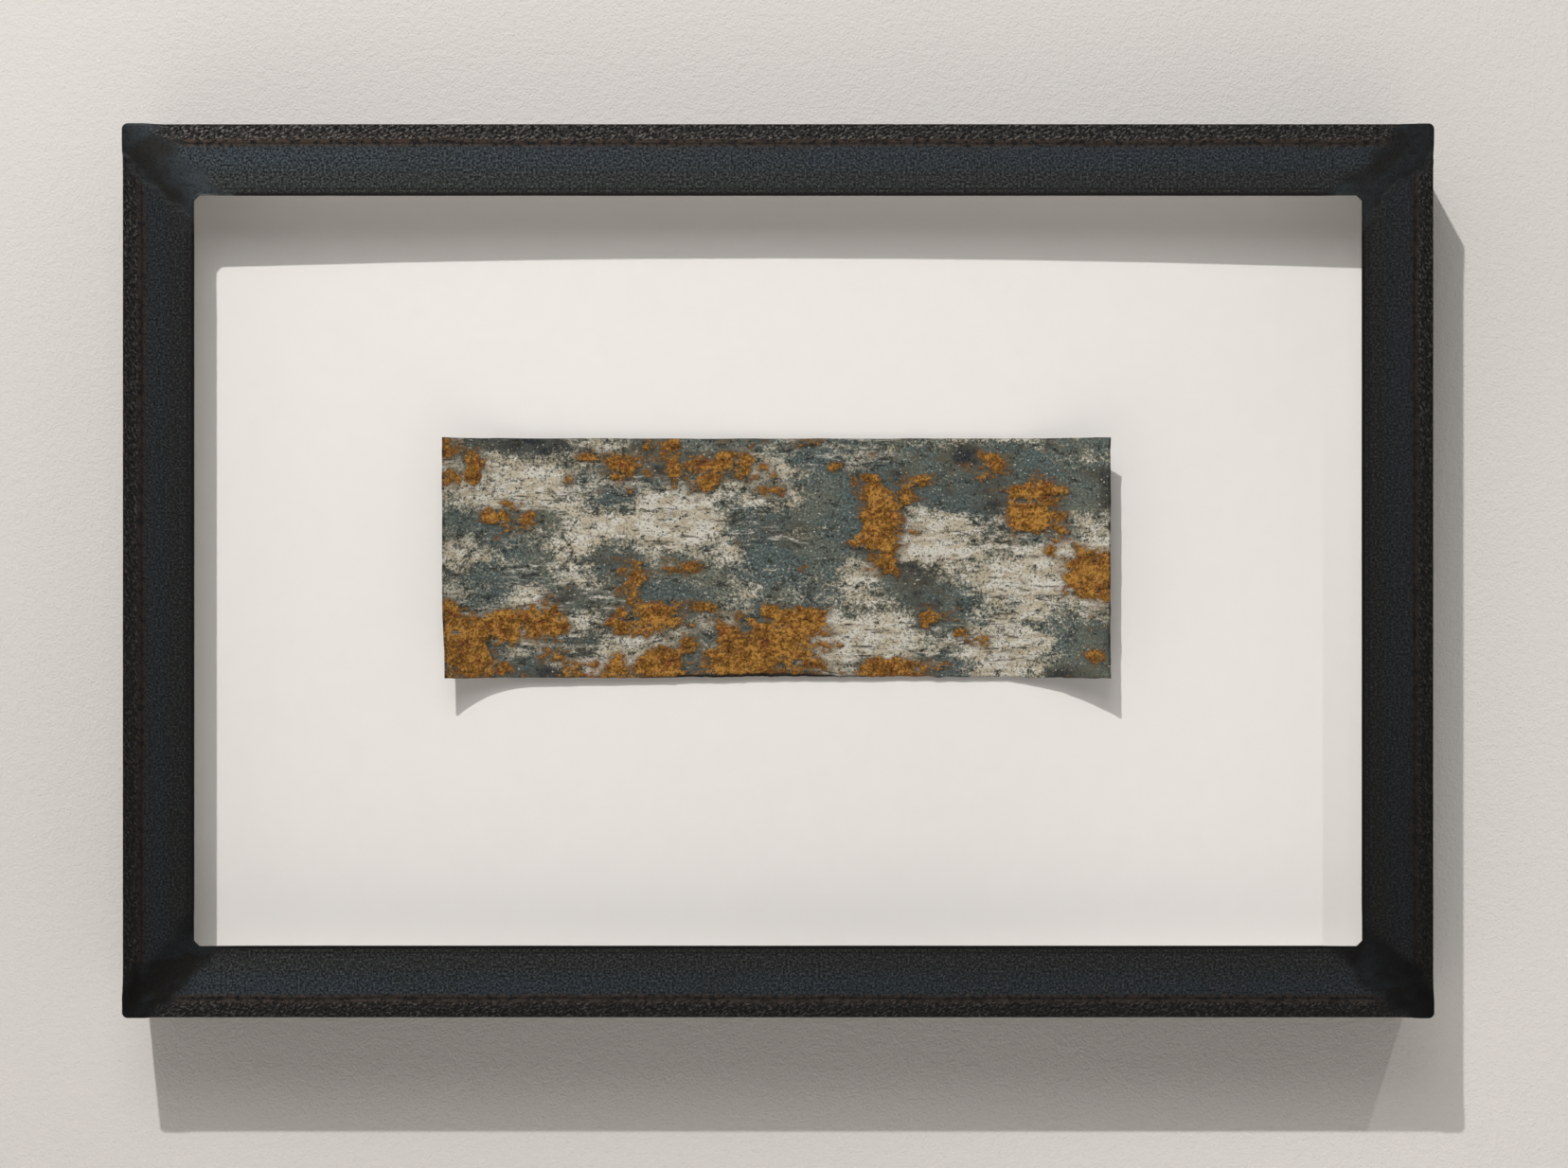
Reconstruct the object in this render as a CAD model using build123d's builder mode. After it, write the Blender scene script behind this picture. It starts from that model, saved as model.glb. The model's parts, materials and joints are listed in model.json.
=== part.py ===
"""Wall-hung floating frame: welded steel angle around a glazed, crowned board with a floated sheet.

Millimetres. +Z is up, +X is right as seen from the front, and the front faces -Y. The wall is the
plane y = 0, and the origin lies on it at the centre of the wall cleat's screw holes.
"""

import os
from math import asin, atan2, cos, degrees, sin, sqrt

from build123d import *

os.makedirs("parts", exist_ok=True)

# Steel angle frame
frame_width = 900.0
frame_height = 614.0
face_width = 50.0  # width of the angle's face flange
leg_depth = 100.0  # depth of the angle's leg, front to back
steel = 6.0  # thickness of both flange and leg
root_radius = 8.0
toe_radius = 4.0
heel_radius = 1.2
weld_half = 3.0  # each bar stops this far short of the mitre plane
corner_radius = 4.5  # ground outer corner
inner_weld = 3.5  # leg of the small weld triangle in each inner corner
inner_weld_depth = 4.0

# Hanging
wall_gap = 2.0  # from the back of the legs to the wall
cleat_thickness = 13.0
cleat_gap = 2.3  # from each cleat to the surface it faces
cleat_end_inset = 150.0  # from the side of the frame to the end of a cleat
wall_cleat_height = 45.0
frame_cleat_height = 38.0
frame_cleat_drop = 22.0  # from the top of the frame to the frame cleat
hook_gap = 0.1  # between the two bevels
wall_hole_radius = 2.75
wall_csk_radius = 5.5
wall_hole_inset = 60.0  # from the end of the wall cleat to its outer holes
lower_spacer_height = 30.0
lower_spacer_rise = 26.0  # from the bottom of the frame to the lower spacer
timber_arris = 0.8

# Glazing
tape_thickness = 1.0
tape_width = 15.0
tape_set_in = 2.0  # from the pane's edge to the tape
glass_thickness = 4.0
glass_arris = 0.4
block_height = 9.0  # room between pane and leg, filled by the setting blocks
block_length = 50.0
block_depth = 11.0
block_round_extra = 0.2
block_reach = 220.0  # from the centre to each block under or over the pane

# Board, spacers and strainer
board_setback = 52.4  # from the front of the face to the middle of the board
board_thickness = 3.0
crown = 8.1  # how far the board falls back over crown_span
crown_span = 400.0
bond_line = 0.1
spacer_thickness = 10.0
strainer_width = 45.0
upright_width = 40.0
upright_reach = 110.0  # from the centre to each middle upright
lap_thickness = 9.0
cover_thickness = 3.0
cover_arris = 0.5

# Turn buttons and their lugs
lug_width = 12.0  # out from the leg
lug_length = 16.0
lug_depth = 12.0
lug_gap = 0.5  # between a lug and the strainer
button_width = 11.0
button_reach = 17.0  # pivot to the middle of the button's round end
button_thickness = 1.5
button_clearance = 0.25
button_play = 0.1  # on each side of the button
washer_radius = 4.5
washer_thickness = 0.8
button_screw_radius = 2.0
button_head_radius = 4.0
button_head_height = 2.4
button_bite = 10.0  # length of the screw inside its lug
rail_button_inset = 80.0  # from the side of the frame to a button on a rail
stile_button_reach = 100.0

# Fasteners
screw_fit = 0.05  # between a screw and the hole it bites into
hole_clearance = 0.25  # between a screw and a hole it passes through
wood_screw_radius = 1.75
wood_head_radius = 3.5
wood_head_height = 2.2
wood_screw_length = 16.0
cover_screw_inset = 100.0  # from the side of the frame to a cover screw on a rail
side_screw_inset = 60.0  # from a rail's edge to a cover screw on a stile
cleat_screw_radius = 2.25
cleat_head_radius = 4.5
cleat_screw_length = 30.0
cleat_screw_inset = 40.0
cleat_screw_reach = 50.0
float_screw_radius = 2.0
float_head_radius = 3.5
float_head_height = 2.4
float_bore_radius = 5.5
float_bore_depth = 10.0
float_washer_radius = 4.5
float_washer_thickness = 1.0
float_tip_gap = 0.3
driver_width = 1.0
driver_depth = 1.2

# Floated sheet
sheet_height = 167.7
sheet_thickness = 2.0
sheet_offset_x = -10.0  # middle of the flat stretch, from the centre of the frame
sheet_offset_z = 9.0
sheet_flat = 324.0
sheet_gap_left = 6.3  # sheet to board at the left end of the flat stretch
sheet_gap_right = 2.5
curl_left_run = 61.0
curl_left_rise = 25.0
curl_right_run = 78.0
curl_right_rise = 30.0
riser_width = 30.0
riser_height = 140.0
riser_screw_pitch = 100.0

# Depths worked out from the sizes above
face_y = -(wall_gap + leg_depth)
flange_back_y = face_y + steel
glass_front_y = flange_back_y + tape_thickness
glass_back_y = glass_front_y + glass_thickness
cleat_face_y = -cleat_thickness
cover_back_y = cleat_face_y - cleat_gap
cover_front_y = cover_back_y - cover_thickness
lap_y = cover_front_y - lap_thickness
board_front_y = face_y + board_setback
crown_radius = (crown_span**2 + crown**2) / (2 * crown)
float_seat_y = cover_front_y - float_bore_depth

# Heights and reaches worked out from the sizes above
hook_z = wall_cleat_height / 2
frame_top = hook_z + cleat_gap + frame_cleat_height + frame_cleat_drop
frame_bottom = frame_top - frame_height
frame_mid = (frame_top + frame_bottom) / 2
half_width = frame_width / 2
half_height = frame_height / 2
inner_half_width = half_width - steel
inner_half_height = half_height - steel
glass_half_width = inner_half_width - block_height
glass_half_height = inner_half_height - block_height
stack_half_width = inner_half_width - lug_width - lug_gap
stack_half_height = inner_half_height - lug_width - lug_gap
stack_low = frame_mid - stack_half_height
stack_high = frame_mid + stack_half_height
cleat_half = half_width - cleat_end_inset
spacer_low = frame_bottom + lower_spacer_rise
spacer_high = spacer_low + lower_spacer_height
sheet_mid = frame_mid + sheet_offset_z

# The direction from each side of the frame towards its middle
INWARD = {
    "top": Vector(0, 0, -1),
    "bottom": Vector(0, 0, 1),
    "left": Vector(1, 0, 0),
    "right": Vector(-1, 0, 0),
}
BACK = Vector(0, 1, 0)


def crown_y(x, behind=0.0):
    """Depth at x of the board's crowned face, or of the parallel surface so far behind it."""
    radius = crown_radius - behind
    return board_front_y + crown_radius - sqrt(radius**2 - x**2)


def save(part, name):
    """Label a finished piece and write its file."""
    part.label = name
    export_step(part, f"parts/{name}.step")


def half_across(inward):
    """Half the frame's size across the bar that faces inward that way."""
    return half_width if inward.X else half_height


def edge_plane(inward):
    """Plane across a bar at its middle: local x runs inward from the outer face, local y backwards."""
    origin = Vector(0, face_y, frame_mid) - inward * half_across(inward)
    return Plane(origin=origin, x_dir=inward, z_dir=inward.cross(BACK))


def spot(side, along, inset, y):
    """Point so far along a bar from its middle and so far in from its leg, at depth y."""
    plane = edge_plane(INWARD[side])
    point = plane.origin + plane.z_dir * along + plane.x_dir * (steel + inset)
    return Vector(point.X, y, point.Z)


def mitre_plane(inward, other, offset):
    """Mitre plane between two bars, moved into the first bar by offset, and facing into it."""
    corner = Vector(0, face_y, frame_mid)
    corner = corner - inward * half_across(inward) - other * half_across(other)
    normal = (other - inward).normalized()
    return Plane(origin=corner + normal * offset, z_dir=normal)


def angle_bar(inward):
    """Rolled steel angle along one whole side of the frame, not yet mitred."""
    plane = edge_plane(inward)
    reach = half_across(plane.z_dir)
    with BuildPart() as bar:
        with BuildSketch(plane):
            with BuildLine():
                FilletPolyline(
                    (0, 0),
                    (face_width, 0),
                    (face_width, steel),
                    (steel, steel),
                    (steel, leg_depth),
                    (0, leg_depth),
                    radius=[heel_radius, 0, toe_radius, root_radius, toe_radius, 0],
                    close=True,
                )
            make_face()
        extrude(amount=reach, both=True)
    return bar.part


def mitred_bar(inward):
    """One bar of the frame, cut short of both mitres to leave room for the welds."""
    along = edge_plane(inward).z_dir
    with BuildPart() as bar:
        add(angle_bar(inward))
        for other in (along, -along):
            split(bisect_by=mitre_plane(inward, other, weld_half), keep=Keep.TOP)
    return bar.part


def weld_half_piece(inward, other):
    """The half of a corner weld that lies on the first bar's side of the mitre."""
    with BuildPart() as half:
        add(angle_bar(inward))
        split(bisect_by=mitre_plane(inward, other, 0), keep=Keep.TOP)
        split(bisect_by=mitre_plane(inward, other, weld_half), keep=Keep.BOTTOM)
    return half.part


def box(x_low, x_high, y_low, y_high, z_low, z_high):
    """Plain block between two corners."""
    with BuildPart() as block:
        with BuildSketch(Plane.XY.offset(z_low)):
            with Locations(((x_low + x_high) / 2, (y_low + y_high) / 2)):
                Rectangle(x_high - x_low, y_high - y_low)
        extrude(amount=z_high - z_low)
    return block.part


def rods(points, radius, y_low, y_high):
    """Round rods from front to back through the given (x, z) points."""
    with BuildPart() as rod:
        with BuildSketch(Plane.XZ.offset(-y_high)):
            with Locations(*points):
                Circle(radius)
        extrude(amount=y_high - y_low)
    return rod.part


def placed(piece, points, y):
    """Copies of one fastener, made with its head seat at the origin, at the given (x, z) points."""
    with BuildPart() as group:
        with Locations(*[(x, y, z) for x, z in points]):
            add(piece)
    return group.part


def pan_screw(radius, head_radius, head_height, length):
    """Pan-head screw with a cross recess: the seat is at y = 0 and the tip points to the front."""
    with BuildPart() as screw:
        with BuildSketch(Plane.XY):
            with BuildLine():
                FilletPolyline(
                    (0, head_height),
                    (head_radius, head_height),
                    (head_radius, 0),
                    (radius, 0),
                    (radius, -length + radius / 2),
                    (radius / 2, -length),
                    (0, -length),
                    radius=[head_height / 2, 0, 0, 0, 0],
                )
                Line((0, -length), (0, head_height))
            make_face()
        revolve(axis=Axis.Y)
        with BuildSketch(Plane.XZ.offset(-head_height)):
            Rectangle(head_radius, driver_width)
            Rectangle(driver_width, head_radius)
        extrude(amount=driver_depth, mode=Mode.SUBTRACT)
    return screw.part


def csk_profile(radius, head_radius, length):
    """Solid of a countersunk screw with its flat head at y = 0 and its tip to the front."""
    with BuildPart() as blank:
        with BuildSketch(Plane.XY):
            with BuildLine():
                Polyline(
                    (0, 0),
                    (head_radius, 0),
                    (radius, radius - head_radius),
                    (radius, -length + radius),
                    (0, -length),
                    close=True,
                )
            make_face()
        revolve(axis=Axis.Y)
    return blank.part


def csk_screw(radius, head_radius, length):
    """Countersunk wood screw with a cross recess."""
    with BuildPart() as screw:
        add(csk_profile(radius, head_radius, length))
        with BuildSketch(Plane.XZ):
            Rectangle(head_radius, driver_width)
            Rectangle(driver_width, head_radius)
        extrude(amount=driver_depth, mode=Mode.SUBTRACT)
    return screw.part


def washer(outer, inner, thickness):
    """Flat washer lying behind the plane y = 0."""
    with BuildPart() as ring:
        with BuildSketch(Plane.XZ.offset(-thickness)):
            Circle(outer)
            Circle(inner, mode=Mode.SUBTRACT)
        extrude(amount=thickness)
    return ring.part


def crowned_block(x_low, x_high, z_low, z_high, flat_y, behind):
    """Block with one flat side at flat_y and the other side following the crowned surface."""
    x_middle = (x_low + x_high) / 2
    with BuildPart() as block:
        with BuildSketch(Plane.XY.offset(z_low)):
            with BuildLine():
                Polyline(
                    (x_low, crown_y(x_low, behind)),
                    (x_low, flat_y),
                    (x_high, flat_y),
                    (x_high, crown_y(x_high, behind)),
                )
                ThreePointArc(
                    (x_high, crown_y(x_high, behind)),
                    (x_middle, crown_y(x_middle, behind)),
                    (x_low, crown_y(x_low, behind)),
                )
            make_face()
        extrude(amount=z_high - z_low)
    return block.part


# Screw positions, as (x, z)
crossing_xs = [
    -(stack_half_width - strainer_width / 2),
    -upright_reach,
    upright_reach,
    stack_half_width - strainer_width / 2,
]
rail_zs = [stack_low + strainer_width / 2, stack_high - strainer_width / 2]
lap_points = [(x, z) for x in crossing_xs for z in rail_zs]
side_zs = [
    stack_low + strainer_width + side_screw_inset,
    frame_mid,
    stack_high - strainer_width - side_screw_inset,
]
cover_screw_reach = half_width - cover_screw_inset
cover_points = [(x, z) for x in (-cover_screw_reach, cover_screw_reach) for z in rail_zs]
cover_points += [(x, z) for x in (crossing_xs[0], crossing_xs[-1]) for z in side_zs]
cleat_screw_end = cleat_half - cleat_screw_inset
cleat_screw_xs = [-cleat_screw_end, -cleat_screw_reach, cleat_screw_reach, cleat_screw_end]
cleat_points = [(x, frame_top - frame_cleat_drop - frame_cleat_height / 2) for x in cleat_screw_xs]
lower_points = [(x, (spacer_low + spacer_high) / 2) for x in cleat_screw_xs]
float_points = [
    (x, sheet_mid + z)
    for x in (-upright_reach, upright_reach)
    for z in (-riser_screw_pitch / 2, riser_screw_pitch / 2)
]

# Steel frame: four mitred bars and the welds that join them
BAR_NAMES = {"top": "top_rail", "bottom": "bottom_rail", "left": "left_stile", "right": "right_stile"}
for side, bar_name in BAR_NAMES.items():
    save(mitred_bar(INWARD[side]), bar_name)

for rail in ("top", "bottom"):
    for stile in ("left", "right"):
        down, across = INWARD[rail], INWARD[stile]
        outer = Vector(0, 0, frame_mid) - down * half_height - across * half_width
        inner = outer + (down + across) * face_width
        triangle = [inner, inner + down * inner_weld, inner + across * inner_weld]
        with BuildPart() as corner_weld:
            add(weld_half_piece(down, across))
            add(weld_half_piece(across, down))
            with BuildSketch(Plane.XZ.offset(-face_y)):
                with BuildLine():
                    Polyline(*[(point.X, point.Z) for point in triangle], close=True)
                make_face()
            extrude(amount=-inner_weld_depth)
            with BuildSketch(Plane.XZ.offset(-face_y)):
                with Locations((0, frame_mid)):
                    RectangleRounded(frame_width, frame_height, corner_radius)
            extrude(amount=-leg_depth, mode=Mode.INTERSECT)
        save(corner_weld.part, f"corner_weld_{rail}_{stile}")

# Glazing tape, stuck to the back of the face flange
tape_out_x = glass_half_width - tape_set_in
tape_out_z = glass_half_height - tape_set_in
tape_in_x = tape_out_x - tape_width
tape_in_z = tape_out_z - tape_width
TAPES = {
    "top": (-tape_out_x, tape_out_x, frame_mid + tape_in_z, frame_mid + tape_out_z),
    "bottom": (-tape_out_x, tape_out_x, frame_mid - tape_out_z, frame_mid - tape_in_z),
    "left": (-tape_out_x, -tape_in_x, frame_mid - tape_in_z, frame_mid + tape_in_z),
    "right": (tape_in_x, tape_out_x, frame_mid - tape_in_z, frame_mid + tape_in_z),
}
for side, (x_low, x_high, z_low, z_high) in TAPES.items():
    save(box(x_low, x_high, flange_back_y, glass_front_y, z_low, z_high), f"tape_{side}")

# Pane
with BuildPart() as glass_pane:
    with BuildSketch(Plane.XZ.offset(-glass_front_y)):
        with Locations((0, frame_mid)):
            Rectangle(2 * glass_half_width, 2 * glass_half_height)
    extrude(amount=-glass_thickness)
    chamfer(glass_pane.faces().filter_by(Axis.Y).edges(), glass_arris)
save(glass_pane.part, "glass_pane")

# Neoprene setting blocks between the pane's edge and the legs, rounded to clear the root fillet
with BuildPart() as setting_blocks:
    for side, alongs in (
        ("top", (-block_reach, block_reach)),
        ("bottom", (-block_reach, block_reach)),
        ("left", (0,)),
        ("right", (0,)),
    ):
        for along in alongs:
            with BuildSketch(edge_plane(INWARD[side]).offset(along - block_length / 2)):
                with BuildLine():
                    FilletPolyline(
                        (steel, steel),
                        (steel + block_height, steel),
                        (steel + block_height, steel + block_depth),
                        (steel, steel + block_depth),
                        radius=[root_radius + block_round_extra, 0, 0, 0],
                        close=True,
                    )
                make_face()
            extrude(amount=block_length)
save(setting_blocks.part, "setting_blocks")

# Spacers on edge between the pane and the crowned board
spacer_in_x = stack_half_width - spacer_thickness
spacer_in_z = stack_half_height - spacer_thickness
SPACERS = {
    "top": (-stack_half_width, stack_half_width, frame_mid + spacer_in_z, stack_high),
    "bottom": (-stack_half_width, stack_half_width, stack_low, frame_mid - spacer_in_z),
    "left": (-stack_half_width, -spacer_in_x, frame_mid - spacer_in_z, frame_mid + spacer_in_z),
    "right": (spacer_in_x, stack_half_width, frame_mid - spacer_in_z, frame_mid + spacer_in_z),
}
for side, (x_low, x_high, z_low, z_high) in SPACERS.items():
    save(crowned_block(x_low, x_high, z_low, z_high, glass_back_y, -bond_line), f"spacer_{side}")

# Crowned mounting board
with BuildPart() as mount_board:
    with BuildSketch(Plane.XY.offset(stack_low)):
        with BuildLine():
            for behind in (0.0, board_thickness):
                ThreePointArc(
                    (-stack_half_width, crown_y(stack_half_width, behind)),
                    (0, crown_y(0, behind)),
                    (stack_half_width, crown_y(stack_half_width, behind)),
                )
            for x in (-stack_half_width, stack_half_width):
                Line((x, crown_y(x)), (x, crown_y(x, board_thickness)))
        make_face()
    extrude(amount=2 * stack_half_height)
    add(
        rods(float_points, float_screw_radius + hole_clearance, face_y, cover_front_y),
        mode=Mode.SUBTRACT,
    )
save(mount_board.part, "mount_board")

# Strainer: rails and uprights half-lapped where they cross, with crowned front edges
lap_screw = csk_screw(wood_screw_radius, wood_head_radius, wood_screw_length)
lap_hole = csk_profile(wood_screw_radius + screw_fit, wood_head_radius + screw_fit, wood_screw_length)
cleat_screw = csk_screw(cleat_screw_radius, cleat_head_radius, cleat_screw_length)
cleat_hole = csk_profile(
    cleat_screw_radius + screw_fit, cleat_head_radius + screw_fit, cleat_screw_length + screw_fit
)
cover_screw = pan_screw(
    wood_screw_radius, wood_head_radius, wood_head_height, wood_screw_length
)
strainer_holes = [
    placed(lap_hole, lap_points, cover_front_y),
    placed(cleat_hole, cleat_points + lower_points, -cleat_gap),
    rods(
        cover_points, wood_screw_radius + screw_fit, cover_back_y - wood_screw_length, cover_back_y
    ),
    rods(float_points, float_bore_radius, float_seat_y, cover_front_y),
    rods(float_points, float_screw_radius + hole_clearance, face_y, float_seat_y),
]
strainer_front = board_thickness + bond_line
upright_edges = [
    (x - width / 2, x + width / 2)
    for x, width in zip(
        crossing_xs, (strainer_width, upright_width, upright_width, strainer_width)
    )
]

RAILS = {
    "strainer_top": (stack_high - strainer_width, stack_high),
    "strainer_bottom": (stack_low, stack_low + strainer_width),
}
for rail_name, (z_low, z_high) in RAILS.items():
    with BuildPart() as strainer_rail:
        add(
            crowned_block(
                -stack_half_width, stack_half_width, z_low, z_high, cover_front_y, strainer_front
            )
        )
        for x_low, x_high in upright_edges:
            add(box(x_low, x_high, face_y, lap_y, z_low, z_high), mode=Mode.SUBTRACT)
        for holes in strainer_holes:
            add(holes, mode=Mode.SUBTRACT)
    save(strainer_rail.part, rail_name)

UPRIGHTS = ("strainer_left", "strainer_upright_left", "strainer_upright_right", "strainer_right")
for upright_name, (x_low, x_high) in zip(UPRIGHTS, upright_edges):
    with BuildPart() as strainer_upright:
        add(crowned_block(x_low, x_high, stack_low, stack_high, cover_front_y, strainer_front))
        for z_low, z_high in RAILS.values():
            add(box(x_low, x_high, lap_y, cover_front_y, z_low, z_high), mode=Mode.SUBTRACT)
        for holes in strainer_holes:
            add(holes, mode=Mode.SUBTRACT)
    save(strainer_upright.part, upright_name)

save(placed(lap_screw, lap_points, cover_front_y), "strainer_screws")

# Back cover and its screws
with BuildPart() as back_cover:
    with BuildSketch(Plane.XZ.offset(-cover_back_y)):
        with Locations((0, frame_mid)):
            Rectangle(2 * stack_half_width, 2 * stack_half_height)
    extrude(amount=cover_thickness)
    chamfer(back_cover.faces().sort_by(Axis.Y)[-1].edges(), cover_arris)
    add(
        rods(cover_points, wood_screw_radius + hole_clearance, cover_front_y, cover_back_y),
        mode=Mode.SUBTRACT,
    )
    add(
        rods(
            cleat_points + lower_points,
            cleat_screw_radius + hole_clearance,
            cover_front_y,
            cover_back_y,
        ),
        mode=Mode.SUBTRACT,
    )
save(back_cover.part, "back_cover")
save(placed(cover_screw, cover_points, cover_back_y), "cover_screws")

# Floated sheet: a flat stretch parted from the board, curling forward at both ends
flat_left_x = sheet_offset_x - sheet_flat / 2
flat_right_x = sheet_offset_x + sheet_flat / 2
flat_left = (flat_left_x, crown_y(flat_left_x) - sheet_gap_left)
flat_right = (flat_right_x, crown_y(flat_right_x) - sheet_gap_right)
sheet_slope = (flat_right[1] - flat_left[1]) / sheet_flat
sheet_turn = atan2(flat_right[1] - flat_left[1], sheet_flat)


def sheet_back_y(x):
    """Depth of the back of the sheet's flat stretch at x."""
    return flat_left[1] + sheet_slope * (x - flat_left_x)


def curl(run, rise):
    """Radius and turn, in degrees, of an arc that leaves the flat and rises so far over a run."""
    radius = (run**2 + rise**2) / (2 * rise)
    return radius, degrees(asin(run / radius))


left_radius, left_turn = curl(curl_left_run, curl_left_rise)
right_radius, right_turn = curl(curl_right_run, curl_right_rise)
with BuildPart() as art_sheet:
    with BuildSketch(Plane.XY.offset(sheet_mid - sheet_height / 2)):
        with BuildLine():
            Line(flat_left, flat_right)
            direction = (cos(sheet_turn), sin(sheet_turn))
            backwards = (-direction[0], -direction[1])
            JernArc(flat_right, direction, right_radius, -right_turn)
            JernArc(flat_left, backwards, left_radius, left_turn)
            offset(amount=sheet_thickness, side=Side.RIGHT)
        make_face()
    extrude(amount=sheet_height)
save(art_sheet.part, "art_sheet")

# Metal risers bonded to the back of the sheet, and the screws that hold them from behind
float_tip_y = max(sheet_back_y(x) for x, z in float_points) + float_tip_gap
for hand, x_middle in (("left", -upright_reach), ("right", upright_reach)):
    x_low = x_middle - riser_width / 2
    x_high = x_middle + riser_width / 2
    with BuildPart() as float_riser:
        with BuildSketch(Plane.XY.offset(sheet_mid - riser_height / 2)):
            with BuildLine():
                Polyline(
                    (x_low, sheet_back_y(x_low)),
                    (x_high, sheet_back_y(x_high)),
                    (x_high, crown_y(x_high, -bond_line)),
                    (x_middle, crown_y(x_middle, -bond_line)),
                    (x_low, crown_y(x_low, -bond_line)),
                    close=True,
                )
            make_face()
        extrude(amount=riser_height)
        add(
            rods(float_points, float_screw_radius + screw_fit, face_y, cover_front_y),
            mode=Mode.SUBTRACT,
        )
    save(float_riser.part, f"float_riser_{hand}")

float_washer = washer(
    float_washer_radius, float_screw_radius + hole_clearance, float_washer_thickness
)
float_head_y = float_seat_y + float_washer_thickness
float_screw = pan_screw(
    float_screw_radius, float_head_radius, float_head_height, float_head_y - float_tip_y
)
save(placed(float_washer, float_points, float_seat_y), "float_washers")
save(placed(float_screw, float_points, float_head_y), "float_screws")

# Turn buttons: each lies on a lug that is welded inside a leg, and laps over the back cover
rail_button_reach = half_width - rail_button_inset
pivot_inset = lug_width / 2
BUTTONS = {
    "top_left": ("top", -rail_button_reach),
    "top_right": ("top", rail_button_reach),
    "bottom_left": ("bottom", rail_button_reach),
    "bottom_right": ("bottom", -rail_button_reach),
    "left_upper": ("left", stile_button_reach),
    "left_lower": ("left", -stile_button_reach),
    "right_upper": ("right", -stile_button_reach),
    "right_lower": ("right", stile_button_reach),
}
pivots = {
    name: spot(side, along, pivot_inset, cover_back_y) for name, (side, along) in BUTTONS.items()
}
pivot_points = [(pivot.X, pivot.Z) for pivot in pivots.values()]
button_front_y = cover_back_y + button_play
washer_y = button_front_y + button_thickness + button_play
button_head_y = washer_y + washer_thickness

with BuildPart() as button_lugs:
    for side, along in BUTTONS.values():
        with BuildSketch(edge_plane(INWARD[side]).offset(along - lug_length / 2)):
            with Locations((steel + lug_width / 2, cover_back_y - lug_depth / 2 - face_y)):
                Rectangle(lug_width, lug_depth)
        extrude(amount=lug_length)
    add(
        rods(
            pivot_points, button_screw_radius + screw_fit, cover_back_y - button_bite, cover_back_y
        ),
        mode=Mode.SUBTRACT,
    )
save(button_lugs.part, "button_lugs")

for name, (side, along) in BUTTONS.items():
    inward = INWARD[side]
    pivot = pivots[name]
    middle = pivot + inward * (button_reach / 2)
    with BuildPart() as turn_button:
        with BuildSketch(Plane.XZ.offset(-button_front_y)):
            with Locations((middle.X, middle.Z)):
                SlotCenterToCenter(button_reach, button_width, rotation=0 if inward.X else 90)
            with Locations((pivot.X, pivot.Z)):
                Circle(button_screw_radius + button_clearance, mode=Mode.SUBTRACT)
        extrude(amount=-button_thickness)
    save(turn_button.part, f"turn_button_{name}")

button_washer = washer(washer_radius, button_screw_radius + hole_clearance, washer_thickness)
button_screw = pan_screw(
    button_screw_radius,
    button_head_radius,
    button_head_height,
    button_head_y - cover_back_y + button_bite,
)
save(placed(button_washer, pivot_points, washer_y), "button_washers")
save(placed(button_screw, pivot_points, button_head_y), "button_screws")

# French cleat: the frame's batten hooks over the wall's batten on a 45 degree bevel
with BuildPart() as wall_cleat:
    with BuildSketch(Plane.YZ):
        with BuildLine():
            Polyline(
                (0, -hook_z),
                (0, hook_z - cleat_thickness),
                (cleat_face_y, hook_z),
                (cleat_face_y, -hook_z),
                close=True,
            )
        make_face()
    extrude(amount=cleat_half, both=True)
    chamfer(wall_cleat.edges().group_by(Axis.Z)[0].filter_by(Axis.X), timber_arris)
    wall_hole_reach = cleat_half - wall_hole_inset
    with Locations(Plane.XZ.offset(cleat_thickness)):
        for fraction in (-1, -1 / 3, 1 / 3, 1):
            with Locations((fraction * wall_hole_reach, 0)):
                CounterSinkHole(wall_hole_radius, wall_csk_radius, depth=cleat_thickness)
save(wall_cleat.part, "wall_cleat")

hook_rise = hook_z - cleat_thickness + hook_gap * sqrt(2)
cleat_top = frame_top - frame_cleat_drop
with BuildPart() as frame_cleat:
    with BuildSketch(Plane.YZ):
        with BuildLine():
            Polyline(
                (-cleat_gap, hook_rise + cleat_gap),
                (-cleat_gap, cleat_top),
                (cover_back_y, cleat_top),
                (cover_back_y, hook_rise - cover_back_y),
                close=True,
            )
        make_face()
    extrude(amount=cleat_half, both=True)
    chamfer(frame_cleat.edges().group_by(Axis.Z)[-1].filter_by(Axis.X), timber_arris)
    add(placed(cleat_hole, cleat_points, -cleat_gap), mode=Mode.SUBTRACT)
save(frame_cleat.part, "frame_cleat")
save(placed(cleat_screw, cleat_points, -cleat_gap), "frame_cleat_screws")

# Lower spacer and its felt, which keep the frame parallel to the wall
with BuildPart() as lower_spacer:
    add(box(-cleat_half, cleat_half, cover_back_y, -cleat_gap, spacer_low, spacer_high))
    chamfer(lower_spacer.faces().sort_by(Axis.Y)[-1].edges(), timber_arris)
    add(placed(cleat_hole, lower_points, -cleat_gap), mode=Mode.SUBTRACT)
save(lower_spacer.part, "lower_spacer")
save(placed(cleat_screw, lower_points, -cleat_gap), "lower_spacer_screws")
felt_inset = 2 * timber_arris
save(
    box(
        -cleat_half + felt_inset,
        cleat_half - felt_inset,
        -cleat_gap,
        0,
        spacer_low + felt_inset,
        spacer_high - felt_inset,
    ),
    "felt_strip",
)
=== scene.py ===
"""Looks of a wall-hung floating frame: mill-scale steel angle around a glazed, floated patina sheet.

Metres. +Z is up, +X is right as seen from the front, the front faces -Y and the wall is the plane y = 0.
"""

import json
import logging
import math
from dataclasses import dataclass, field
from enum import Enum
from typing import ClassVar

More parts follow.
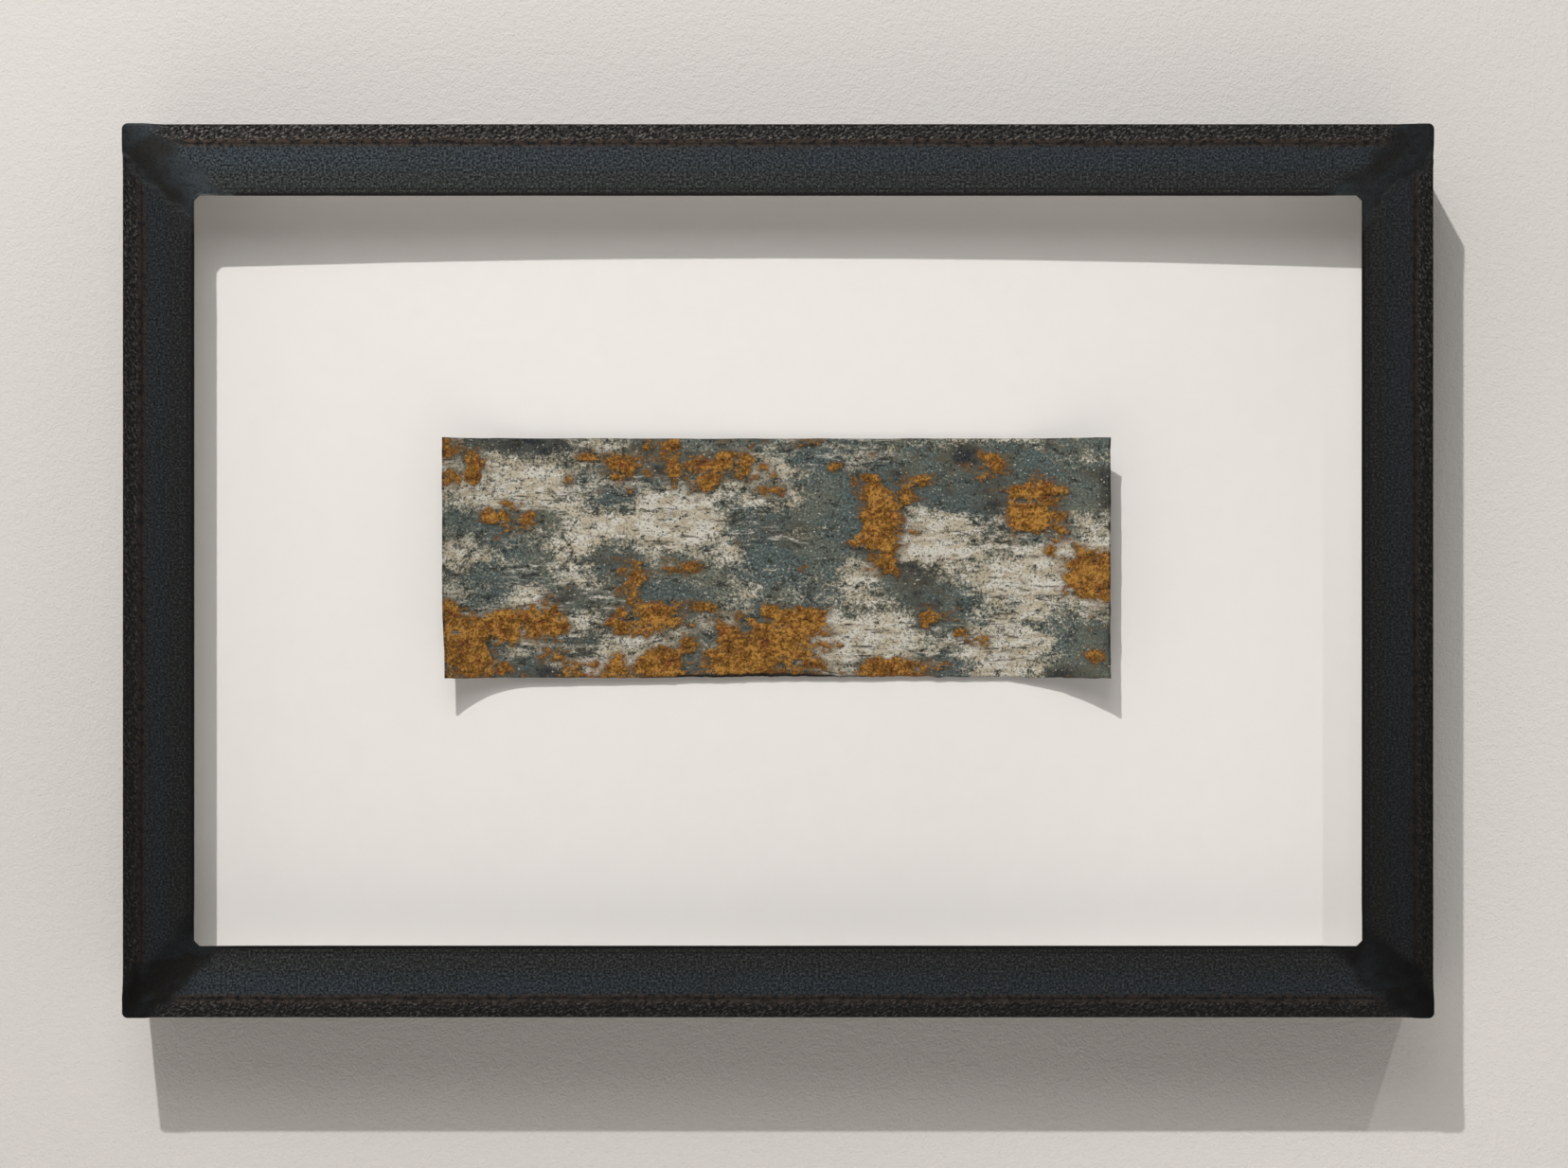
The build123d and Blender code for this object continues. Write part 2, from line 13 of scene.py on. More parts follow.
import bmesh
import bpy
import numpy as np
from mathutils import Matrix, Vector

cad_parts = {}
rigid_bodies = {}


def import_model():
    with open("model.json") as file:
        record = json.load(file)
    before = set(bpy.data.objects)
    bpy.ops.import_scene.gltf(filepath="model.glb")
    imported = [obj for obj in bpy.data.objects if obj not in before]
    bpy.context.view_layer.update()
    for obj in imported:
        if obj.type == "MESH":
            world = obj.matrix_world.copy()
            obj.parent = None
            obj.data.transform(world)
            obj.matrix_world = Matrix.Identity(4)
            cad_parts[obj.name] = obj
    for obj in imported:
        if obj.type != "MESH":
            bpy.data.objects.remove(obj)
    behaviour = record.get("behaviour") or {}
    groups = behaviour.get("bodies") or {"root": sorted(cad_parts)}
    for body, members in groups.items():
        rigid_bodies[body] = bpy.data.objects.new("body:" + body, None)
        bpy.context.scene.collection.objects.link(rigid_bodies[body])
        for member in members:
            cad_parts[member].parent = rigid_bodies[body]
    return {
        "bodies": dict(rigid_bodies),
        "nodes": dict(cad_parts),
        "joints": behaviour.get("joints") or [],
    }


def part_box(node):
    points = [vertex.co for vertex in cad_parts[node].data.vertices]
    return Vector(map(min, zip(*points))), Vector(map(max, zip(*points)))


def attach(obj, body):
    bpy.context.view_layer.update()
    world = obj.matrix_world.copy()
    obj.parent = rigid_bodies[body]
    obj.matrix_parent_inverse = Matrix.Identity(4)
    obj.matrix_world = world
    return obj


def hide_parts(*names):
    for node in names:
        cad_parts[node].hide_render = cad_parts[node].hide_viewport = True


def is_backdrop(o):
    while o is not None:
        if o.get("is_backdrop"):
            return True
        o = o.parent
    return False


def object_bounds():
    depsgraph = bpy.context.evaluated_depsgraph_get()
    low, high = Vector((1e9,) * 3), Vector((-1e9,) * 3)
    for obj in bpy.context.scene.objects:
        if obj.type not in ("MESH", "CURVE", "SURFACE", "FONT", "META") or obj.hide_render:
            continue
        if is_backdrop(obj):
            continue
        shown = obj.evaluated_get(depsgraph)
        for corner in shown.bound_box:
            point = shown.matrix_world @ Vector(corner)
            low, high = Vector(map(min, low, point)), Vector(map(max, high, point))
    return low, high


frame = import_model()

MM = 0.001
BODY = "frame"
SHARP_ANGLE = 48.0  # degrees; a sharper fold is shaded as an edge
DOT_CORE = 0.6  # share of a dot that has the full colour
STEP_DOWN = -1e-9  # width of a ramp whose two limits meet
log = logging.getLogger("floating_frame")

Array = np.ndarray
Colour = tuple[float, float, float]
Socket = bpy.types.NodeSocket


# ---------------------------------------------------------------- relief worked out on whole arrays


def smoothstep(value: Array, low: float | Array, high: float | Array) -> Array:
    """Ramp from 0 at low to 1 at high along 3t^2 - 2t^3.

    Args:
        value: numbers to ramp.
        low: where the ramp starts, one number or one a value.
        high: where it ends, likewise; less than low for a falling ramp. Where both are the same the
            ramp is a step, from 1 below them to 0 from there on.

    Returns:
        Numbers from 0 to 1.
    """
    width = np.where(high == low, STEP_DOWN, np.subtract(high, low))
    t = np.clip((value - low) / width, 0.0, 1.0)
    return t * t * (3.0 - 2.0 * t)


class Relief:
    """Repeatable random relief from a seeded table of numbers."""

    TABLE = 256

    def __init__(self, seed: int) -> None:
        """Draw the table.

        Args:
            seed: number that fixes the table.
        """
        self.table = np.random.default_rng(seed).random((self.TABLE, self.TABLE))

    def pick(self, column: Array, row: Array) -> Array:
        """Table entries at whole-number places, wrapping round at the table's edges."""
        return self.table[column % self.TABLE, row % self.TABLE]

    def smooth(self, x: Array, y: Array) -> Array:
        """Table values at whole-number corners, blended inside each cell by 6t^5 - 15t^4 + 10t^3.

        Args:
            x: first coordinate, in cells.
            y: second coordinate, in cells.

        Returns:
            Numbers from 0 to 1.
        """
        column, row = np.floor(x).astype(int), np.floor(y).astype(int)
        u, v = x - column, y - row
        u = u * u * u * (u * (6 * u - 15) + 10)
        v = v * v * v * (v * (6 * v - 15) + 10)
        low = self.pick(column, row) * (1 - u) + self.pick(column + 1, row) * u
        high = self.pick(column, row + 1) * (1 - u) + self.pick(column + 1, row + 1) * u
        return low * (1 - v) + high * v

    def layered(self, x: Array, y: Array, layers: int = 4, falloff: float = 0.5) -> Array:
        """Sum of smooth relief, each layer about twice as fine and falloff times as strong.

        Args:
            x: first coordinate, in cells of the coarsest layer.
            y: second coordinate, in cells of the coarsest layer.
            layers: how many layers are added.
            falloff: strength of each layer against the one before.

        Returns:
            Numbers from 0 to 1.
        """
        total = np.zeros(np.broadcast(x, y).shape)
        strength, scale, sum_strength = 1.0, 1.0, 0.0
        for layer in range(layers):
            total += strength * self.smooth(x * scale + 17.3 * layer, y * scale + 41.7 * layer)
            sum_strength += strength
            strength *= falloff
            scale *= 2.03
        return total / sum_strength

    def lumps(self, x: Array, y: Array, fill: float = 1.0) -> Array:
        """Round lumps: one jittered centre a cell, height 1 - distance^2 over its own size^2, highest wins.

        Args:
            x: first coordinate, in cells.
            y: second coordinate, in cells.
            fill: share of the cells that hold a lump.

        Returns:
            Heights from 0 to 1.
        """
        column, row = np.floor(x).astype(int), np.floor(y).astype(int)
        highest = np.zeros(x.shape)
        for step_x in (-1, 0, 1):
            for step_y in (-1, 0, 1):
                i, j = column + step_x, row + step_y
                centre_x = i + 0.15 + 0.7 * self.pick(i, j)
                centre_y = j + 0.15 + 0.7 * self.pick(i + 71, j + 29)
                size = 0.35 + 0.5 * self.pick(i + 13, j + 97)
                height = 1 - ((x - centre_x) ** 2 + (y - centre_y) ** 2) / size**2
                present = self.pick(i + 5, j + 151) < fill
                highest = np.maximum(highest, np.where(present, height * size / 0.85, 0.0))
        return highest


# ---------------------------------------------------------------- meshes


def make_piece(name: str, points: Array, faces: list, masks: dict[str, Array]) -> bpy.types.Object:
    """Object of the given faces, in place, with its faces turned outwards and smooth.

    Args:
        name: name of the piece.
        points: n x 3 array of places.
        faces: faces as lists or rows of point numbers.
        masks: n numbers or n x 3 numbers a point, by name.

    Returns:
        The new object, at the origin.
    """
    mesh = bpy.data.meshes.new(name)
    mesh.from_pydata(points, [], faces)
    shell = bmesh.new()
    shell.from_mesh(mesh)
    bmesh.ops.recalc_face_normals(shell, faces=shell.faces)
    shell.to_mesh(mesh)
    shell.free()
    for mask, values in masks.items():
        vector = values.ndim == 2
        attribute = mesh.attributes.new(mask, "FLOAT_VECTOR" if vector else "FLOAT", "POINT")
        attribute.data.foreach_set("vector" if vector else "value", values.astype(np.float32).ravel())
    mesh.polygons.foreach_set("use_smooth", np.ones(len(mesh.polygons), bool))
    mesh.set_sharp_from_angle(angle=math.radians(SHARP_ANGLE))
    mesh.update()
    piece = bpy.data.objects.new(name, mesh)
    bpy.context.scene.collection.objects.link(piece)
    return piece


def grid_faces(rows: int, columns: int, wrap_rows: bool = False, wrap_columns: bool = False) -> Array:
    """Quads between the neighbours of a rows x columns grid, whose points are numbered row by row.

    Args:
        rows: number of rows.
        columns: number of columns.
        wrap_rows: whether the last row joins the first.
        wrap_columns: whether the last column joins the first.

    Returns:
        m x 4 array of point numbers.
    """
    row = np.arange(rows if wrap_rows else rows - 1)[:, None]
    column = np.arange(columns if wrap_columns else columns - 1)[None, :]
    row_next, column_next = (row + 1) % rows, (column + 1) % columns
    corners = [
        row * columns + column,
        row * columns + column_next,
        row_next * columns + column_next,
        row_next * columns + column,
    ]
    return np.stack(np.broadcast_arrays(*corners), -1).reshape(-1, 4)


def bar_faces(sections: int, around: int) -> list:
    """Quads of a closed bar, with one flat face over each end.

    Args:
        sections: number of sections along the bar.
        around: number of points round each section.

    Returns:
        Faces as lists of point numbers.
    """
    faces = grid_faces(sections, around, wrap_columns=True).tolist()
    first = list(range(around))
    last = list(range((sections - 1) * around, sections * around))
    return faces + [first, last]


def stand_in(piece: bpy.types.Object, node: str, body: str, coat: bpy.types.Material) -> None:
    """Let a finished piece stand for a CAD node.

    Args:
        piece: the new piece, in place.
        node: CAD node that it replaces.
        body: CAD body that it rides on.
        coat: its material.
    """
    piece.data.materials.append(coat)
    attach(piece, body)
    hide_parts(node)


# ---------------------------------------------------------------- shader nodes


class Sketch:
    """Node tree with one short method for each kind of node that the finishes use."""

    def __init__(self, tree: bpy.types.NodeTree) -> None:
        """Keep the tree.

        Args:
            tree: tree that the nodes go into.
        """
        self.tree = tree

    def add(self, kind: str, **settings: object) -> bpy.types.Node:
        """New node.

        Args:
            kind: kind of node.
            settings: the node's own settings.

        Returns:
            The node.
        """
        node = self.tree.nodes.new(kind)
        for name, value in settings.items():
            setattr(node, name, value)
        return node

    def feed(self, socket: Socket, value: object) -> None:
        """Give a socket a link, a colour or a number.

        Args:
            socket: input socket.
            value: output socket, colour or number.
        """
        if isinstance(value, bpy.types.NodeSocket):
            self.tree.links.new(value, socket)
        elif isinstance(value, tuple) and socket.type == "RGBA":
            socket.default_value = (*value, 1.0)
        else:
            socket.default_value = value

    def put(self, kind: str, output: str | int, inputs: dict, **settings: object) -> Socket:
        """New node with its inputs fed.

        Args:
            kind: kind of node.
            output: name or number of the output that is wanted.
            inputs: what each input gets, by name or number.
            settings: the node's own settings.

        Returns:
            The wanted output.
        """
        node = self.add(kind, **settings)
        for key, value in inputs.items():
            self.feed(node.inputs[key], value)
        return node.outputs[output]

    def place(self) -> Socket:
        """Place on the object, in metres."""
        return self.put("ShaderNodeTexCoord", "Object", {})

    def mask(self, name: str) -> Socket:
        """Number that the piece carries at each point."""
        return self.put("ShaderNodeAttribute", "Fac", {}, attribute_name=name)

    def path(self, name: str) -> Socket:
        """Place that the piece carries at each point."""
        return self.put("ShaderNodeAttribute", "Vector", {}, attribute_name=name)

    def stretch(self, vector: Socket, x: float, y: float, z: float) -> Socket:
        """Vector with each axis scaled."""
        return self.put("ShaderNodeMapping", "Vector", {"Vector": vector, "Scale": (x, y, z)})

    def turn(self, vector: Socket, angle: float) -> Socket:
        """Vector turned about Z by an angle in degrees."""
        inputs = {"Vector": vector, "Angle": math.radians(angle)}
        return self.put("ShaderNodeVectorRotate", 0, inputs, rotation_type="Z_AXIS")

    def axis(self, vector: Socket, name: str) -> Socket:
        """One axis of a vector."""
        return self.put("ShaderNodeSeparateXYZ", name, {0: vector})

    def noise(
        self, vector: Socket, scale: object, detail: float = 4.0, rough: float = 0.5, warp: float = 0.0
    ) -> Socket:
        """Cloudy noise.

        Args:
            vector: place to read it at.
            scale: cells a metre.
            detail: layers.
            rough: strength of the finer layers.
            warp: how far it is stirred.

        Returns:
            A number from 0 to 1.
        """
        shape = {"Scale": scale, "Detail": detail, "Roughness": rough, "Distortion": warp}
        return self.put("ShaderNodeTexNoise", "Fac", {"Vector": vector, **shape})

    def dots(self, vector: Socket, scale: float, size: float) -> Socket:
        """Crisp round dots about scattered points, scale to a metre, each size of the spacing in radius."""
        distance = self.put("ShaderNodeTexVoronoi", "Distance", {"Vector": vector, "Scale": scale})
        return self.ramp(distance, size, size * DOT_CORE)

    def ramp(self, value: Socket, low: float, high: float, to: tuple = (0.0, 1.0)) -> Socket:
        """Smooth ramp of a number.

        Args:
            value: number to ramp.
            low: where the ramp starts; it may be more than high.
            high: where the ramp ends.
            to: what it gives at its start and end.

        Returns:
            The ramped number.
        """
        first, last = to if low < high else to[::-1]
        limits = {"From Min": min(low, high), "From Max": max(low, high), "To Min": first, "To Max": last}
        kind = "ShaderNodeMapRange"
        return self.put(kind, "Result", {"Value": value, **limits}, interpolation_type="SMOOTHSTEP")

    def work(self, operation: str, first: object, second: object = 0.0) -> Socket:
        """Arithmetic on two numbers."""
        return self.put("ShaderNodeMath", 0, {0: first, 1: second}, operation=operation)

    def times(self, first: object, second: object) -> Socket:
        """Product of two numbers."""
        return self.work("MULTIPLY", first, second)

    def plus(self, first: object, second: object) -> Socket:
        """Sum of two numbers."""
        return self.work("ADD", first, second)

    def blend(self, amount: object, under: object, over: object) -> Socket:
        """One colour over another, by an amount from 0 to 1."""
        return self.put("ShaderNodeMix", 2, {0: amount, 6: under, 7: over}, data_type="RGBA")

    def wash(
        self, under: object, over: object, value: Socket, low: float, high: float, full: float = 1.0
    ) -> Socket:
        """Colour laid over another as a number ramps.

        Args:
            under: lower colour.
            over: upper colour.
            value: number that decides how much of the upper colour shows.
            low: where the upper colour starts to show.
            high: where it shows most.
            full: how much of it shows there.

        Returns:
            The colour.
        """
        return self.blend(self.ramp(value, low, high, to=(0.0, full)), under, over)

    def tint(self, under: object, over: object, mask: Socket, share: float) -> Socket:
        """Colour laid over another by a share of a mask."""
        return self.blend(self.times(mask, share), under, over)

    def bump(self, height: Socket, distance: float) -> Socket:
        """Normal of a bumpy surface whose bumps are so high, in metres."""
        return self.put("ShaderNodeBump", "Normal", {"Height": height, "Distance": distance})

    def effect(self, tree: bpy.types.NodeTree, **inputs: object) -> dict[str, Socket]:
        """Shared effect placed in this tree.

        Args:
            tree: the effect's node group.
            inputs: what its named inputs get.

        Returns:
            Its outputs by name.
        """
        node = self.add("ShaderNodeGroup", node_tree=tree)
        for name, value in inputs.items():
            self.feed(node.inputs[name], value)
        return {socket.name: socket for socket in node.outputs}


def new_effect(name: str, numbers: tuple[str, ...], outputs: tuple[str, ...]) -> tuple[Sketch, dict, dict]:
    """Empty node group for a shared effect.

    Args:
        name: name of the group.
        numbers: names of its number inputs, besides Vector.
        outputs: names of its number outputs.

    Returns:
        Its sketch, its inputs by name, and its outputs by name.
    """
    tree = bpy.data.node_groups.new(name, "ShaderNodeTree")
    tree.interface.new_socket("Vector", in_out="INPUT", socket_type="NodeSocketVector")
    for number in numbers:
        tree.interface.new_socket(number, in_out="INPUT", socket_type="NodeSocketFloat")
    for output in outputs:
        tree.interface.new_socket(output, in_out="OUTPUT", socket_type="NodeSocketFloat")
    sketch = Sketch(tree)
    entry = sketch.add("NodeGroupInput")
    leave = sketch.add("NodeGroupOutput")
    return sketch, {s.name: s for s in entry.outputs}, {s.name: s for s in leave.inputs}


class Effects:
    """Effects that more than one finish uses, each built once as a node group."""

    def __init__(self) -> None:
        """Build the groups."""
        self.mottling = self.build_mottling()
        self.scuffing = self.build_scuffing()
        self.wood_grain = self.build_wood_grain()

    def build_mottling(self) -> bpy.types.NodeTree:
        """Broad cloudiness, a finer cloud inside it, and fine grains.

        Returns:
            The group, with outputs Broad, Cloud and Grains.
        """
        sketch, given, out = new_effect("Mottling", ("Scale",), ("Broad", "Cloud", "Grains"))
        fine = sketch.times(given["Scale"], 4.3)
        finest = sketch.times(given["Scale"], 23.0)
        sketch.feed(out["Broad"], sketch.noise(given["Vector"], given["Scale"], 3.0, 0.55, 0.4))
        sketch.feed(out["Cloud"], sketch.noise(given["Vector"], fine, 5.0, 0.6, 0.3))
        sketch.feed(out["Grains"], sketch.noise(given["Vector"], finest, 3.0, 0.6))
        return sketch.tree

    def build_scuffing(self) -> bpy.types.NodeTree:
        """Fine rub marks in two crossing directions, thinned out by a broad cloud, and small specks.

        Returns:
            The group, with outputs Rubs and Specks.
        """
        sketch, given, out = new_effect("Scuffing", ("Scale",), ("Rubs", "Specks"))
        lengthwise = sketch.noise(sketch.stretch(given["Vector"], 0.06, 1.0, 1.0), given["Scale"], 3.0, 0.6)
        crosswise = sketch.noise(sketch.stretch(given["Vector"], 1.0, 1.0, 0.08), given["Scale"], 3.0, 0.6)
        patches = sketch.noise(given["Vector"], sketch.times(given["Scale"], 0.05), 2.0)
        lengthwise, crosswise = sketch.ramp(lengthwise, 0.62, 0.78), sketch.ramp(crosswise, 0.66, 0.8)
        marks = sketch.work("MAXIMUM", lengthwise, crosswise)
        sketch.feed(out["Rubs"], sketch.times(marks, sketch.ramp(patches, 0.4, 0.65)))
        dots = sketch.noise(given["Vector"], sketch.times(given["Scale"], 0.9), 2.0, 0.4)
        sketch.feed(out["Specks"], sketch.ramp(dots, 0.64, 0.74))
        return sketch.tree

    def build_wood_grain(self) -> bpy.types.NodeTree:
        """Growth rings as the sine of a stretched cloud, fibres as very long fine noise, and pores.

        Returns:
            The group, with outputs Rings, Fibres and Pores. Its X axis runs along the grain.
        """
        sketch, given, out = new_effect("Wood grain", ("Scale",), ("Rings", "Fibres", "Pores"))
        drawn = sketch.stretch(given["Vector"], 0.07, 1.0, 1.0)
        swirl = sketch.noise(drawn, given["Scale"], 2.0, 0.45, 0.5)
        wave = sketch.work("SINE", sketch.times(swirl, 46.0))
        sketch.feed(out["Rings"], sketch.ramp(wave, -0.9, 1.0))
        fine = sketch.times(given["Scale"], 30.0)
        fibres = sketch.noise(sketch.stretch(given["Vector"], 0.02, 1.0, 1.0), fine, 3.0, 0.6)
        sketch.feed(out["Fibres"], fibres)
        pores = sketch.noise(sketch.stretch(given["Vector"], 0.05, 1.0, 1.0), fine, 1.0, 0.4)
        sketch.feed(out["Pores"], sketch.ramp(pores, 0.66, 0.76))
        return sketch.tree


def new_coat(name: str, **constants: object) -> tuple[bpy.types.Material, Sketch, bpy.types.Node]:
    """Empty material with one shader.

    Args:
        name: name of the material.
        constants: values set straight on the shader's own sockets, with _ for each space.

    Returns:
        The material, its sketch and its shader.
    """
    coat = bpy.data.materials.new(name)
    coat.use_nodes = True
    coat.node_tree.nodes.clear()
    sketch = Sketch(coat.node_tree)
    shader = sketch.add("ShaderNodeBsdfPrincipled")
    for socket, value in constants.items():
        sketch.feed(shader.inputs[socket.replace("_", " ")], value)
    sketch.feed(sketch.add("ShaderNodeOutputMaterial").inputs["Surface"], shader.outputs[0])
    return coat, sketch, shader


# ---------------------------------------------------------------- finishes


@dataclass(frozen=True)
class BlackenedSteel:
    """Blackened, waxed rolling scale: coarse outer band, brown crease, slate middle, ground corners;
    painted glints, a painted crest highlight, and painted shade at the inner edge, on the stiles and toward
    the lower right.
    """

    slate: Colour = (0.0300, 0.0450, 0.0600)
    green_grey: Colour = (0.0270, 0.0330, 0.0310)
    pit: Colour = (0.0030, 0.0030, 0.0032)
    painted_glint: Colour = (0.1350, 0.1450, 0.1480)
    scale_brown: Colour = (0.090, 0.060, 0.043)
    outer: Colour = (0.0400, 0.0400, 0.0400)
    # Pale colour of rub marks and flecks, and of the painted highlight on the crest.
    bright: Colour = (0.300, 0.275, 0.250)
    ground: Colour = (0.0380, 0.0480, 0.0550)
    charcoal: Colour = (0.0200, 0.0205, 0.0200)
    # Near black: the scale's dark lines, and the painted shade at the inner edge and from the tone.
    line: Colour = (0.0012, 0.0010, 0.0009)

    def coat(self, effects: Effects) -> bpy.types.Material:
        """Make the material.

        Args:
            effects: shared effects.

        Returns:
            The material. It reads the bar path and the band masks that each bar carries.
        """
        coat, s, shader = new_coat("Blackened steel", Specular_IOR_Level=0.12, Metallic=0.0)
        path, place = s.path("bar_path"), s.place()
        broad = s.effect(effects.mottling, Vector=path, Scale=22.0)
        fine = s.effect(effects.scuffing, Vector=path, Scale=900.0)
        slanted = s.stretch(s.turn(path, 24.0), 0.55, 1.0, 1.0)
        chatter = s.noise(slanted, 690.0, 3.0, 0.7, 0.4)
        grain = s.noise(path, 620.0, 3.0, 0.75)
        worn = s.noise(path, 250.0, 3.0, 0.6)
        middle = s.blend(s.mask("toward_toe"), self.slate, self.green_grey)
        middle = s.wash(middle, self.green_grey, broad["Broad"], 0.4, 0.75, 0.5)
        middle = s.wash(middle, self.pit, grain, 0.50, 0.42, 0.95)
        # Painted glints: pale sparkle on the high grain of the slate middle.
        middle = s.wash(middle, self.painted_glint, grain, 0.53, 0.62, 0.6)
        outer = s.wash(self.outer, self.pit, chatter, 0.52, 0.44)
        outer = s.wash(outer, self.bright, chatter, 0.54, 0.63, 0.65)
        colour = s.blend(s.mask("outer_band"), middle, outer)
        rust_tone = s.wash(self.pit, self.scale_brown, worn, 0.42, 0.54)
        colour = s.tint(colour, rust_tone, s.mask("crease"), 0.8)
        specks = s.times(s.ramp(grain, 0.53, 0.60), s.mask("speckled"))
        colour = s.tint(colour, self.scale_brown, specks, 0.65)
        # Painted highlight: pale flecks on the crest beside the crease, where it catches the light from
        # above.
        crest_glint = s.times(s.ramp(chatter, 0.52, 0.60), s.mask("painted_crest_highlight"))
        colour = s.tint(colour, self.bright, crest_glint, 0.6)
        # Dark lines of the scale, together with painted shade along the flange's inner edge.
        colour = s.blend(s.mask("dark_lines_and_edge_shade"), colour, self.line)
        smudge = s.effect(effects.mottling, Vector=place, Scale=34.0)
        patch = s.wash(self.ground, self.charcoal, smudge["Broad"], 0.36, 0.58)
        patch = s.wash(patch, self.pit, smudge["Grains"], 0.50, 0.40, 0.5)
        colour = s.blend(s.mask("ground"), colour, patch)
        colour = s.tint(colour, self.bright, fine["Rubs"], 0.06)
        # Painted shade: blend toward near black by the tone, darkest on the stiles and toward the lower
        # right.
        colour = s.blend(s.mask("shade"), colour, self.line)
        s.feed(shader.inputs["Base Color"], colour)
        s.feed(shader.inputs["Roughness"], s.ramp(broad["Cloud"], 0.3, 0.7, to=(0.36, 0.46)))
        bare = s.ramp(s.mask("ground"), 1.0, 0.0, to=(0.10, 1.0))
        waves = s.times(chatter, s.ramp(s.mask("outer_band"), 0.0, 1.0, to=(0.0, 1.6)))
        height = s.times(s.plus(grain, waves), bare)
        s.feed(shader.inputs["Normal"], s.bump(height, 0.0008))
        return coat


@dataclass(frozen=True)
class WeatheredPatina:
    """Weathered metal sheet: slate ground, chalk bloom, brown mottling, and lumpy rust crust with painted
    shade in its crevices and painted highlights on its lumps, plus painted shade along a parting in its
    lower edge.
    """

    slate_deep: Colour = (0.012, 0.018, 0.017)
    slate: Colour = (0.150, 0.180, 0.152)
    slate_blue: Colour = (0.085, 0.140, 0.150)
    slate_pale: Colour = (0.46, 0.49, 0.41)
    navy: Colour = (0.008, 0.024, 0.042)
    umber: Colour = (0.120, 0.094, 0.058)
    chalk: Colour = (0.96, 0.93, 0.83)
    chalk_warm: Colour = (0.74, 0.66, 0.50)
    chalk_shade: Colour = (0.40, 0.38, 0.29)
    rust_light_and_highlight: Colour = (0.68, 0.345, 0.070)
    rust: Colour = (0.25, 0.108, 0.016)
    rust_red: Colour = (0.26, 0.075, 0.022)
    rust_deep_and_crevice_shade: Colour = (0.014, 0.009, 0.005)
    edge: Colour = (0.012, 0.010, 0.008)

    def coat(self, effects: Effects) -> bpy.types.Material:
        """Make the material.

        Args:
            effects: shared effects.

        Returns:
            The material. It reads the sheet's own masks and adds finer breakup to each.
        """
        coat, s, shader = new_coat("Weathered patina", Specular_IOR_Level=0.3)
        path = s.path("sheet_path")
        cloud = s.effect(effects.mottling, Vector=s.stretch(path, 0.6, 1.0, 1.0), Scale=30.0)
        scuffs = s.effect(effects.scuffing, Vector=path, Scale=600.0)
        crumbs = s.noise(path, 520.0, 5.0, 0.85)
        flecks = s.noise(s.stretch(path, 0.75, 1.0, 1.0), 150.0, 8.0, 0.8, 0.3)
        pores = s.noise(path, 300.0, 3.0, 0.6)
        drawn = s.noise(s.stretch(path, 0.16, 1.0, 1.0), 260.0, 6.0, 0.75, 0.3)

        def ragged(name: str, coarse: float, fine: float) -> Socket:
            """Mask of the sheet, its outline broken up.

            Args:
                name: the mask.
                coarse: how far the flecks break it.
                fine: how far the crumbs do.

            Returns:
                The broken mask.
            """
            broken = s.times(s.work("SUBTRACT", flecks, 0.5), coarse)
            crumbled = s.times(s.work("SUBTRACT", crumbs, 0.5), fine)
            return s.plus(s.mask(name), s.plus(broken, crumbled))

        tone = s.plus(s.times(cloud["Cloud"], 0.4), s.times(flecks, 0.6))
        ground = s.wash(self.slate_blue, self.slate, cloud["Broad"], 0.42, 0.60)
        ground = s.wash(ground, self.slate_deep, tone, 0.50, 0.41, 0.9)
        ground = s.wash(ground, self.slate_pale, crumbs, 0.51, 0.58, 0.6)
        ground = s.wash(ground, self.umber, ragged("umber", 1.2, 1.0), 0.5, 0.8, 0.8)
        ground = s.wash(ground, self.navy, ragged("navy", 1.4, 1.2), 0.55, 0.7, 0.9)
        bloom = ragged("chalk", 2.0, 2.2)
        colour = s.wash(ground, self.chalk_shade, bloom, 0.36, 0.50, 0.85)
        powder = s.wash(self.chalk, self.chalk_warm, cloud["Cloud"], 0.56, 0.44)
        colour = s.wash(colour, powder, bloom, 0.52, 0.68)
        strokes = s.times(s.ramp(drawn, 0.54, 0.62, to=(0.0, 0.8)), s.mask("streaks"))
        colour = s.blend(strokes, colour, self.chalk)
        dark_strokes = s.times(s.ramp(drawn, 0.46, 0.38), s.mask("streaks"))
        colour = s.tint(colour, self.slate_deep, dark_strokes, 0.9)
        colour = s.wash(colour, self.slate_deep, flecks, 0.44, 0.38, 0.9)
        colour = s.wash(colour, self.umber, crumbs, 0.465, 0.41, 0.9)
        pitted = s.times(s.dots(path, 330.0, 0.30), s.ramp(pores, 0.50, 0.42))
        colour = s.tint(colour, self.slate_deep, pitted, 0.95)
        glints = s.dots(s.stretch(path, 0.7, 1.0, 1.0), 410.0, 0.26)
        glints = s.times(glints, s.ramp(pores, 0.50, 0.58))
        colour = s.tint(colour, self.chalk, glints, 0.7)
        crust = ragged("rust", 1.1, 1.2)
        craggy = s.times(s.work("SUBTRACT", crumbs, 0.5), 4.2)
        craggy = s.plus(craggy, s.times(s.mask("lump"), 1.0))
        body = s.wash(self.rust, self.rust_red, cloud["Cloud"], 0.52, 0.62, 0.8)
